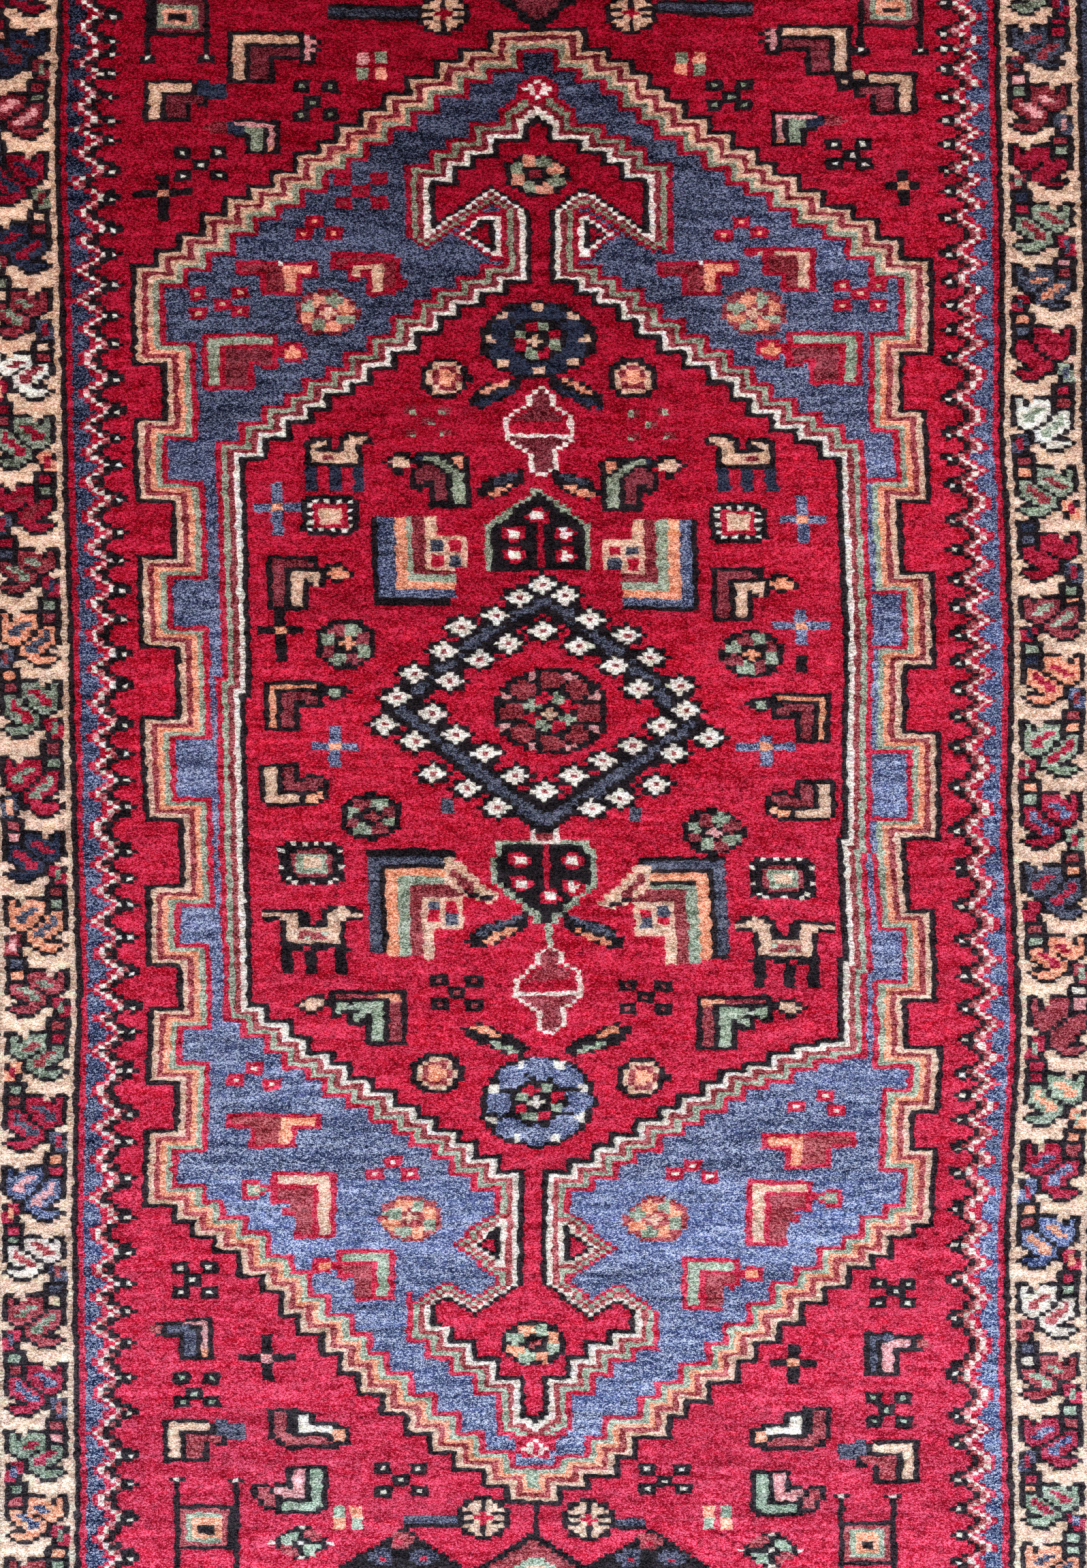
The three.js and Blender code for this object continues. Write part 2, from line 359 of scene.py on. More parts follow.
def leaf_at(side, top, bottom, outwards, dyes):
    dye_of = dict(zip("ATQqFf", dyes))
    for row in range(int(round(top)) + MID_R, int(round(bottom)) + MID_R):
        if abs(row_r[row]) > FIELD_R:
            continue
        share = (row_r[row] - top) / (bottom - top)
        text = LEAF[min(len(LEAF) - 1, max(0, int(share * len(LEAF))))]
        if (side < 0) == outwards:
            text = text[::-1]
        first = MID_C + (81 if side > 0 else -92)
        for along, letter in enumerate(text):
            cloth[row, first + along] = DYE[dye_of.get(letter, letter)]


# Each leaf: row it starts on, dyes of leaf, stripe, squares and flower. They point outwards in turn.
RIGHT_LEAVES = [
    (-225, "NNRPBR"), (-208, "GRPRRB"), (-191, "SDRRDS"), (-177, "DLLGSL"), (-161, "RRDGDG"),
    (-147, "GDNRRS"), (-130, "SPLDRS"), (-116, "RRPSGS"), (-98, "WGRDSR"), (-80, "GDDPPR"), (-63, "RRNSSR"),
    (-47, "MGGPRN"), (-32, "PRGNBD"), (-15, "GRDPRG"), (3, "RBPGGR"), (21, "SRDPRR"), (39, "PRDGMG"),
    (55, "MMWLRG"), (74, "GPRRPG"), (92, "RBPMBR"), (111, "BPPMRP"), (128, "WDRGMM"), (146, "MGSWRG"),
    (162, "RBGMSR"), (179, "GRRPRB"), (194, "PSGGGR"), (211, "RSGPSR")]
LEFT_LEAVES = [
    (-225, "DGRPGR"), (-208, "RSPGRB"), (-191, "NDRPDG"), (-175, "DLDGSP"), (-160, "RNSSGD"),
    (-142, "NRCDDG"), (-125, "DGGCSR"), (-109, "WDCDRP"), (-93, "GRRDPR"), (-75, "RDRGSR"), (-59, "DGRSRN"),
    (-43, "PSGMSD"), (-25, "GRPDRG"), (-7, "RGMGSP"), (13, "NRMLRG"), (30, "PSDGML"), (48, "MGSPRG"),
    (64, "GDDRPR"), (80, "RSGDSR"), (98, "BLPRRP"), (116, "WDRGSD"), (131, "MGSCRS"), (148, "RBGMSD"),
    (166, "GRMLRB"), (182, "PBGMRG"), (198, "DDPGRS"), (214, "GRGPSR")]


def side_borders():
    for side, leaves in ((1, RIGHT_LEAVES), (-1, LEFT_LEAVES)):
        outwards = False
        ends = [leaf[0] for leaf in leaves[1:]] + [FIELD_R]
        for (top, dyes), bottom in zip(leaves, ends):
            leaf_at(side, top, bottom, outwards, dyes)
            # Two neighbours on the right lean the same way.
            if (side, top) != (1, -80):
                outwards = not outwards


def end_borders():
    # The same leaves turned by a quarter, set across each end.
    count = 16
    pitch = 2 * FIELD_C / count
    for end, leaves, stride, first in ((-1, LEFT_LEAVES, 7, 1), (1, RIGHT_LEAVES, 5, 3)):
        for number in range(count):
            dye_of = dict(zip("ATQqFf", leaves[(number * stride + first) % len(leaves)][1]))
            start = pitch * number - FIELD_C
            for c in column_c[(column_c >= start) & (column_c < start + pitch)]:
                text = LEAF[min(len(LEAF) - 1, int((c - start) / pitch * len(LEAF)))]
                for deep in range(18):
                    across = int((deep + 0.5) / 18 * 11)
                    letter = text[10 - across if (number + (end > 0)) % 2 else across]
                    set_knot(c, end * (232.5 + deep), dye_of.get(letter, letter))
        for side in (-1, 1):
            # A plain square flower fills each corner.
            c, r = side * 86.5, end * 241.5
            for half_c, half_r, letter in ((5.6, 8.6, "K"), (4.8, 7.4, "PS"[end > 0]), (3.4, 5.4, "K"),
                                           (2.6, 4.2, "RG"[end > 0]), (1.2, 2, "C")):
                block(letter, c, r, half_c, half_r)


def squares_five(cs, rs, cm, rm, letter, middle):
    # One small square at each corner of a field and one in its middle.
    for c in cs:
        for r in rs:
            square(c, r, letter, middle)
    square(cm, rm, letter, middle)


def square(c, r, letter, middle):
    # Three knots each way round a knot of another dye.
    c, r = np.floor(c) + 0.5, np.floor(r) + 0.5
    block(letter, c, r, 1.25, 1.25)
    block(middle, c, r, 0.6, 0.6)


def cross(c, r, up, down, reach, letter, middle="P"):
    c, r = round(c), round(r)
    bars(letter, (c - 1.1, r - up, c + 1.1, r + down), (c - reach, r - 1.1, c + reach, r + 1.1))
    block(middle, c, r, 1.1, 1.1)


BIRD = """
KKKKKKKKKKKKK
KCCCCCCCCCCCKLK
KCCCCCCCCCCCKLLK
KCCKKKKKKKKKKLK
KCCKMMMMMMMMKLLK
KCCKMMMMMMMMKLK
KCCKMMMKKKKKKLK
KCCKMMMK....KKK
KCCKMMMK*4
KKKKKKKK"""
SHORT_BIRD = """
KKKKKKKK.LL
KCCCCCCCKLLNNN
KCCCCCCCKNNNLN
KCCKKKKKKNNNNN
KCCKMMMMMMKNNN
KCCKMMMMMMK
KCCKMMMK.KK
KCCKMMMK*3
KKKKKKKK"""
SMALL_COMB = """
.....KKKKKKKK
.DDDNLLLLLLLK
DDDDNNNGGGKLK
.DDDNNNGGGKLK
.....KKKGGKLK
.......KGGKLK*2
.......KGGKPK
.......KKKKKK"""
HOOK = """
RRRRRRRRRRRRR
RGGGGGGGGGGGR
RGGGGGGGGGGGR.RRR
RGGRRRRRRRRRRRRPRR
RGGRMMMMMMMMRRPPPR*2
RGGRMMMMMMMMR.RRR
RGGRMMMMRRMMR
RGGRMMMMR.RRR
RGGRMMMMR*4
RRRRRRRRR"""
GOAT = """
.......KKKK
.KKKK.KKCCCK
KKCCK.KCCCKK
KCCKK.KCCK
KCKKKKKCCK
KCCCCCCCCK
KCCDDCCCCK
KCCCCCCCCK
KKKKKKKKKK
NN..NN..NN*6"""
DONKEY = """
...........KKCKK
KKKKKKK...KKCCCKK
CCCCCCKK..KCCCCCC
KKKCCCKK..KCCCKKK
...KCCKK.KKCCK
...KCCKKKKKCCK
...KCCCCCCCCCK
...KCCDDDDGCCK
...KCCDGDDDCCK
...KCCCCCCCCCK
...KKKKKKKKKKK
...KKKK.KKK.KKK
...KK..KK...KK*6"""
SMALL_FRAME = """
.KKKKKKKK
KKWKWKWKWK
KWRRRRRRKK
KKRCCCCRWK
KWRCCCCRKK
KKRCCCCRWK
KWRCCCCRKK
KKRRRRRRWK
KWKWKWKWKK
.KKKKKKKK"""
DOTTED_FRAME = """
.KWKWKWKWK
KKKKKKKKKKK
WKKMMMMMKKW
KKMGGGGGMKK
KKMGCCCGMKK*2
WKMGCCCGMKW
KKMGGGGGMKK
KKKMMMMMKKK
KWKKKKKKKWK
.KWKKWKKWK"""
STAR = """
...K
.KKWKK
.KWWWK
KWWDWWK
.KWWWK
.KKWKK
...K"""
HENS = """
KKKKKKKKK
KMMMMMMKK
KMMMMMMMK.KKK
KMMKKKKKKKKPPK
KMMKCCCCCKPPPPK
KMMKCCCCCKKPPPK
KMMKCCKCCK.KK
KMMKCCKKCK
KMMKCCK*5
KKKKKKK"""
LINE_BIRD = """
KKKKKKKKKK......
KPPPPPPPPKKKKK
KPKKKKKKKKKGGKK
KPKMMMMMKKKGGK
KPKMMMMMMK.KK
KPKMMKKMMK
KPKMMKKKKK
KPKMMK*5
KKKKKK"""
FOOT_BIRD = """
KKKKKKK
KCCKMMK*2
KCCKMMK.KKK
KCCKMMKKMMMK
KCCKMMMMMMMK
KCCKMMMMMMKK
KCCKKKKKKKPK
KCCCCCCKPPPK
KCCCCCCKPPK
.KKKKKKKKK"""
GREEN_BIRD = """
KKKKKKKKKKKKK
KPPPPMMMMMMMK.KKK
KPPKKKKKKKKKKKCCCK
KMMKGGGGGKGGKKCCCCK
KMMKGGGGGGGGK.KCCK
KMMKGGGGKKKGK..KK
KMMKGGKGGK.KK
KMMKGGKKGK
KMMKGGKKKK
KMMKGGK*4
KKKKKKK"""


def petals(c, r, dyes, out_c, out_r, half_c, half_r, lead=0.5):
    # Eight small ovals round a middle, in dyes that take turns.
    for n in range(8):
        turn = np.pi * (n + lead) / 4
        oval(dyes[n % len(dyes)], c + out_c * np.cos(turn), r + out_r * np.sin(turn), half_c, half_r)


def rosette(c, r, high, petal, petal_size, accent, lead, inner, heart):
    # Large eight-petalled flower edged in black, with pale accents between its petals.
    oval("K", c, r, 9.9, high)
    block("K", c, r, 9.7, 3.5)
    petals(c, r, petal, 6.5, high - 3.2, petal_size, petal_size + 0.5, lead)
    petals(c, r, accent, 8.3, high - 1.6, 0.9, 1.1, lead + 0.5)
    oval("K", c, r, 4.9, 5.6)
    petals(c, r, inner, 3.2, 3.6, 1.15, 1.3)
    chart(".H. HHH .H.", c, r, False, "H" + heart)


def small_flower(c, r):
    # Eight petals in two colours, half a turn apart, round a dark heart.
    oval("K", c, r, 5.6, 5.7)
    petals(c, r, "GP", 3.5, 3.7, 1.3, 1.6)
    oval("D", c, r, 1.2, 1.1)


def wide_flower(c, r, ground="D", dyes="GP", heart="C"):
    oval(ground, c, r, 5.4, 6.1)
    petals(c, r, dyes, 3.4, 3.7, 1.3, 1.6)
    chart("..H.. .HHH. ..H..", c, r, False, "H" + heart)


def tee(c, r):
    # A dark bar with a leg and a pale hook, edged in crimson. Both stand the same way round.
    bars("R", (c - 7.8, r - 0.9, c, r + 2.6), (c - 3.7, r - 0.5, c + 3, r + 8),
         (c, r - 1, c + 6.5, r + 2.6))
    bars("D", (c - 6.8, r, c, r + 1.7), (c - 2.7, r, c - 0.2, r + 7))
    bars("P", (c, r, c + 2, r + 7.2), (c, r, c + 5.5, r + 1.9))
    chart("W", c - 0.5, r - 1)


def red_hooks():
    tee(-42, -128)
    tee(29, -128)
    shape("R", [
        (-34.3, -130.3), (-31, -131.3), (-24, -131.3), (-21.7, -129), (-21.4, -121.8), (-23.5, -120.4),
        (-28.4, -120.4), (-28.4, -125.2), (-29, -124), (-31.3, -124.2), (-31.3, -127.6), (-33, -126.2),
        (-34.3, -128)])
    bars("D", (-33.5, -129.8, -31, -128.3), (-31, -130.2, -25, -129), (-25.2, -129.5, -22.6, -121.5))
    bars("C", (-27.4, -128.4, -25.4, -121.4), (-30.2, -128.4, -25.4, -127.2),
         (-30.2, -128.4, -28.9, -125.4))
    bars("R", (35.8, -132, 40, -129.8), (38.9, -132.4, 48.2, -124.9), (42, -126, 48.2, -121))
    bars("D", (40, -130, 45.3, -126), (43, -126, 45.3, -122))
    bars("C", (40.8, -131.5, 47.2, -130.2), (45.4, -131.5, 47.2, -122))
    chart("C", 38.3, -131)


def cream_flower(c, r):
    chart("""
...KKK...
.KKCKCKK.
.KCCKCCK.
KCCCKCCCK
KKKCRCKKK
KCCRRRCCK
KKKCRCKKK
KCCCKCCCK
.KCCKCCK.
.KKCKCKK.
...KKK""", c, r)


def oval_flower(c, r):
    oval("K", c, r, 4.4, 5.2)
    oval("C", c, r, 3.3, 4.1)
    oval("D", c, r, 2.4, 3.1)
    oval("P", c, r, 1.6, 1.9)


def comb_upper():
    # Nested corner of coloured bars, opening towards the middle.
    bar("K", -27.6, -64.5, -14.6, -41.4)
    bar("B", -26.6, -64.5, -14.4, -42.6)
    bar("P", -24.5, -64.5, -14.3, -44.6)
    bar("G", -22.5, -64.5, -14, -46.6)
    bar("D", -20.6, -64.5, -14, -48.5)
    bar("R", -18.6, -66, -11, -50)
    bar("C", -18.9, -64.5, -16.6, -50)
    bar("C", -18.9, -59.2, -12, -49.9)
    four_squares(-18, -57.6, 3, 3.6, 2.1, 2.6, "SRRS")
    bar("R", -14.4, -51, -10, -41)


def comb_lower():
    bar("K", -30.4, 21.2, -15, 47.5)
    bar("S", -29.6, 22.6, -15.5, 47)
    bar("K", -27.6, 24.8, -15.5, 47)
    bar("P", -26.9, 25.6, -15.5, 47.6)
    bar("K", -24.9, 28, -15.5, 47.6)
    bar("G", -24.6, 28.2, -14, 48.2)
    bar("D", -22.7, 30, -13, 48.2)
    bar("R", -20.6, 32.8, -8, 50)
    bar("C", -20.8, 33, -18.6, 48.6)
    bar("C", -20.8, 33, -14, 41.3)
    for ca, ra, letter in ((-19.7, 33.6, "S"), (-16.7, 34.2, "R"), (-19.9, 36.4, "R"), (-17, 37, "S")):
        bar(letter, ca, ra, ca + 2.1, ra + 2.7)
    shape("C", [(-17, 23.4), (-15, 23.4), (-7.8, 33.2), (-9.4, 34.8), (-13, 33.2), (-17, 29.5)])
    run("D", (-15.8, 26), (-12.2, 31))
    run("D", (-15.4, 27.8), (-12.6, 31.6))
    run("K", (-13.8, 31.6), (-9.6, 33.6))


def symmetric(c, half):
    # An outline from its right half, given from the top down by distance from the middle and row.
    return [(c + out, r) for out, r in half] + [(c - out, r) for out, r in half[::-1]]


def ladybug(c, top, middle, bottom, spots, upper):
    wide = 8.8
    if upper:
        points = [(0, top), (wide, middle), (wide, bottom)]
        small = [(0, top + 1.4), (wide - 1, middle + 0.6), (wide - 1, bottom)]
    else:
        points = [(wide - 0.8, top), (wide, top + 4), (wide, middle), (3, bottom)]
        small = [(wide - 2, top + 1), (wide - 1, top + 4.4), (wide - 1, middle - 0.4), (2.4, bottom - 1)]
    shape("G", symmetric(c, points))
    shape("K", symmetric(c, small))
    for sc, sr in spots:
        oval("R", sc, sr, 1.9, 2.1)
        oval("W", sc, sr, 1.0, 1.2)


def vase(c, top):
    # White-dotted outline, dark fill, a red belt over a white bar.
    chart("""
......W
.....WMW
....WMMMW*3
...W.MMM.W
..W.MMMMM.W
.W.MMMMMMM.W
W.MMMMMMMM.W
W.RRRRRRRR.W*3
WWWWWWWWWWWW
WMMMMMMMMMMW
.WMMMMMMMMW
..WMMMMMMW
...WMMMMW
....WMMMW*4
....WMMW
.....WW""", c, top + 11.5)


def leaf_spray(tip, stem, upper, lower):
    # A slanting leaf edged in black, with one stripe above another: a dye and where each starts and ends.
    (ca, ra), (cb, rb) = tip, stem
    span = np.hypot(1.5 * (cb - ca), rb - ra)
    nc, nr = (rb - ra) / 1.5 / span, -1.5 * (cb - ca) / span
    parts = ((("K", 0, 1), 0, 2.6), (upper, 1.2, 0.85), (lower, -1.2, 0.85))
    for (letter, first, last), shift, half in parts:
        line = [(first, 0), ((3 * first + last) / 4, half), ((first + last) / 2, half), (last, half * 0.6),
                (last, -half * 0.6), ((first + last) / 2, -half), ((3 * first + last) / 4, -half)]
        shape(letter, [(ca + (cb - ca) * t + nc * (w + shift), ra + (rb - ra) * t + nr * (w + shift))
                       for t, w in line])


def upper_leaves():
    leaf_spray((-11.3, -92.2), (-2, -98.4), ("P", 0.25, 0.8), ("N", 0.05, 0.9))
    leaf_spray((-10, -69.4), (-1.8, -74.2), ("S", 0.3, 0.95), ("P", 0.1, 0.7))


def lower_leaves():
    leaf_spray((-14, 45.2), (-3, 38.8), ("S", 0.2, 0.9), ("P", 0.15, 0.75))
    leaf_spray((-14.8, 66.2), (-3.6, 72.4), ("P", 0.12, 0.6), ("G", 0.4, 0.88))


def table(c, top, bottom, leg_from, leg_to, upper):
    # Nested squares on two legs, whose feet point towards the middle of the rug.
    for letter, half, down, up in (("K", 5.2, 0, 0), ("M", 4.2, 1.2, 1.2), ("G", 3.3, 2.6, 2.4),
                                   ("P", 2.4, 3.6, 3.4), ("K", 1.4, 5, 4.6)):
        bar(letter, c - half, top + down, c + half, bottom - up)
    end = leg_to if upper else leg_from
    for leg in (c - 4.9, c + 4.9):
        bars("K", (leg - 0.5, leg_from, leg + 0.5, leg_to), (leg - 1.5, end - 1, leg + 1.5, end + 0.6))
        bar("W", leg - 0.6, end - 0.9, leg + 0.6, end + 0.4)


def spotted_diamond(c, r, up, down, reach, near, far, step, half_c, half_r):
    # Nine spots in rows of one, two, three, two and one.
    shape("K", [(c, r - up), (c - reach, r), (c, r + down), (c + reach, r)])
    spots = (
        (0, -2 * step, "M"), (-near, -step, "S"), (near, -step, "S"), (-far, 0.4, "M"), (0, 0.4, "C"),
        (far, 0.4, "M"), (-near, step + 0.4, "S"), (near, step + 0.4, "S"), (0, 2 * step + 0.4, "M"))
    for dc, dr, letter in spots:
        oval(letter, c + dc, r + dr, half_c, half_r)
    return spots


def fill_red_corners():
    table(-59.3, -197, -185.5, -210, -180, True)
    table(61.5, -198.5, -187.5, -210, -182, True)
    both(BIRD, -42.5, -181, 47.5, -182)
    both(SHORT_BIRD, -58.5, -169, 58.7, -171.5, "LN", "NKLC")
    both(SMALL_COMB, -48.5, -161, 47.5, -162.5)
    four_squares(-29.2, -182, 3, 4, 2.4, 3, "LGGP")
    four_squares(24.8, -182, 3, 3, 2.4, 3, "GPPG")
    for cs, rs, cm, rm, middle in (
            ((-39, -33.8), (-173.3, -167), -36.3, -170, "G"), ((31, 36.8), (-174, -168.6), 34.2, -171, "G"),
            ((-58.4, -52.2), (-157, -151), -55.5, -154, "W"),
            ((51.2, 56.3), (-158.3, -153.4), 54, -156, "W"),
            ((-62, -56.2), (127.5, 133), -59.2, 130.3, "W"), ((57.2, 62), (131, 136.5), 60, 133.5, "W"),
            ((-62, -56.6), (155.7, 161.7), -59.5, 159, "G"), ((56, 61), (160, 166.3), 58.5, 163.5, "G"),
            ((-27.5, -22), (178, 184), -25, 181, "W"), ((17, 23), (178.3, 183.5), 20.3, 181, "W")):
        squares_five(cs, rs, cm, rm, "K", middle)
    for c, r, up, down, reach, middle in (
            (-62.5, -146.5, 5, 7.5, 4.6, "P"), (63, -148.5, 3.6, 5.5, 3.2, "P"),
            (-47, 150, 6.3, 6.5, 4.8, "L"), (43, 152, 4.6, 5, 3.8, "P")):
        cross(c, r, up, down, reach, "K", middle)
    # Bars and flowers hanging by the point of the medallion, above and below.
    for c, r, side in ((-14, -191, -1), (18, -192, 1)):
        bar("K", c + side * 4, r - 2.6, c + side * 20, r + 1.2)
        bar("S", c + side * 4, r - 1.6, c + side * 20, r + 0.4)
        cream_flower(c, r)
    shape("K", [(1.5, -187), (-9, -199), (12, -199)])
    shape("M", [(1.5, -189), (-7, -199), (10, -199)])
    corner = """
......KKKKK
.KKKKKLLLLK
DDKSSSSKKLK
DDKSSSSSKLK
.KKKKKSSKLK
.....KSSKLK*3
.....KSSKPK*2
.....KKKKKK"""
    both(corner, -61.5, 145.8, 60.7, 149.3, "", "LSSLPS")
    both(SHORT_BIRD, -57.6, 171.3, 57, 176, "NSLS")
    low_bird = """
KKKKK
KMMKKKKK
KMMKKWWK*2
KMMKKWWKKKKK
KMMKKWWWWWWKKK
KMMKKWWWWWWPPK
KMMMKKKKKKKPPK
.KMMMMMMMMKPPK
.KKMMMMMMMMKKK
...KKKKKKKKK"""
    both(low_bird, -40.5, 168.6, 42.5, 169)
    cup = """
......KKKKKKK
......KLLKGGK*3
KKK.KKKLLKGGK
KMMKLLKLLKGGK
KMMKLLLLLKGGK
KMMMKLLLLKGGK
.KMMKKKKKKGGK
.KMMKGGGGGGGK
..KKKGGGGGGKK
....KKKKKKKK"""
    both(cup, -43.7, 184, 41, 185)
    table(-57.8, 187.5, 199.3, 181.5, 213, False)
    table(55, 191.5, 203.5, 185.5, 215, False)
    four_squares(-35.7, 188.2, 2.9, 3.1, 2.2, 2.6, "GPPG")
    four_squares(26.5, 188.2, 3, 3.1, 2.2, 2.6, "PGGP")
    kite = """
....KWK
...KKKMM
..KGGKMMM
.KGGGKKMMK
WKGGKWKKKKW
.KMMKKGGGK
..MMMKGGK
...MMKGG
....KWK"""
    both(kite, -42, 198, 39, 199)
    bar("K", -2.4, 187.5, -1.2, 196)
    for c, side, end in ((-10.7, -1, -24.5), (7.5, 1, 17.5)):
        bar("K", c, 190.6, end, 194)
        bar("S", c, 191.4, end + side * -0.8, 193)
        cream_flower(c, 191.8)
    shape("K", [(-1.5, 194.5), (-12, 205), (-1.5, 216), (9, 205)])
    shape("M", [(-1.5, 196.5), (-10, 205), (-1.5, 213.6), (7, 205)])
    oval("G", -1.5, 205, 3.4, 4)
    oval("C", -1.5, 205, 1.6, 2)
    for c in (-24.2, 17.8):
        for dc, dr, letter in spotted_diamond(c, 205, 11.5, 12, 12, 3.6, 6.6, 4, 2.2, 1.9):
            bar("R", c + dc - 0.6, 204.6 + dr, c + dc + 0.6, 205.6 + dr)
    # The same pendants close the field at the top, past the edge of the photo.
    for c in (-27, 30):
        spotted_diamond(c, -210, 16, 15, 13, 4, 7, 5, 2.3, 2.1)
    shape("K", [(1.5, -220), (-11, -203), (1.5, -187), (14, -203)])
    shape("M", [(1.5, -217), (-9, -203), (1.5, -189.5), (12, -203)])
    oval("G", 1.5, -204, 3.4, 4)
    oval("C", 1.5, -204, 1.6, 2)


def fill_blue_ground():
    for cs, rs, cm, rm, middle in (
            ((-31.2, -26), (-149.5, -143.7), -28.7, -146.7, "D"),
            ((-56.3, -50), (-121, -115.3), -53, -118, "C"),
            ((52.7, 58), (-123, -117.2), 55.3, -120.3, "C")):
        squares_five(cs, rs, cm, rm, "R", middle)
    for c, r in (
            (-36.6, -138.7), (-39, -135.5), (-34, -135.5), (35.5, -139), (32.5, -135.7), (38.7, -135.5)):
        square(c, r, "R", "P")
    for c, r in (
            (-49.8, 76.5), (-52.8, 79.5), (-47, 80), (47, 83.3), (42.7, 86.3), (49.7, 87),
            (-25.8, 100), (-22.5, 103), (-28.2, 103), (25.5, 101), (22.7, 103.7), (28.2, 104.5)):
        square(c, r, "R", "W")
    red_hooks()
    wide_flower(-34.8, -115.6)
    wide_flower(37.6, -115.6)
    both(HOOK, -46.9, -102.9, 47.4, -103.9)
    for c, r in ((1.5, -172.5), (-1.8, 173)):
        oval("R", c, r, 3.6, 3.4)
        chart("..W.. .WRW. WWRWW .WRW. ..W..", c, r)
    low_tee = """
RRRRRRRRRRRRRRRR
RDDDDDDDDPPPPPPR*2
RRRRDDDDDPPRRRRR
....RDDDDPPR*4
....RRRRRRRR"""
    both(low_tee, -45.8, 92.2, 44.8, 97)
    big = """
.....RRRRRRRRRRR
.....RCCCCCCCCCR
RRR..RCCCCCCCCCR
RGGRRRRRRRRRRCCR
RGCGRRDMMMMMRCCR
RGGR.RMMMMMMRCCR
RRR..RMMMMMMRCCR
.....RRRMMMMRCCR
........MMMMRCCR
.......RMMMMRCCR
.......RRMMMRCCR
.........MMMRCCR*4
.........RMMRCCR
.........RRRRRRR"""
    both(big, -43.3, 111.2, 43.5, 113)
    middle = """
....RRRRRRRRRR
....RGGGGGGGGR
RRR.RGGGGGGGGR
RPPRRRRRRRRGGR
RPPRRDMMMMRGGR
RRR.RMMMMMRGGR
....RRRMMMRGGR
.....R.MMMRGGR
.......MMMRGGR*4
.......RRRRRRR"""
    both(middle, -32.2, 130, 31, 132)
    wide_flower(-22.2, 114.8)
    wide_flower(19.8, 115.4)


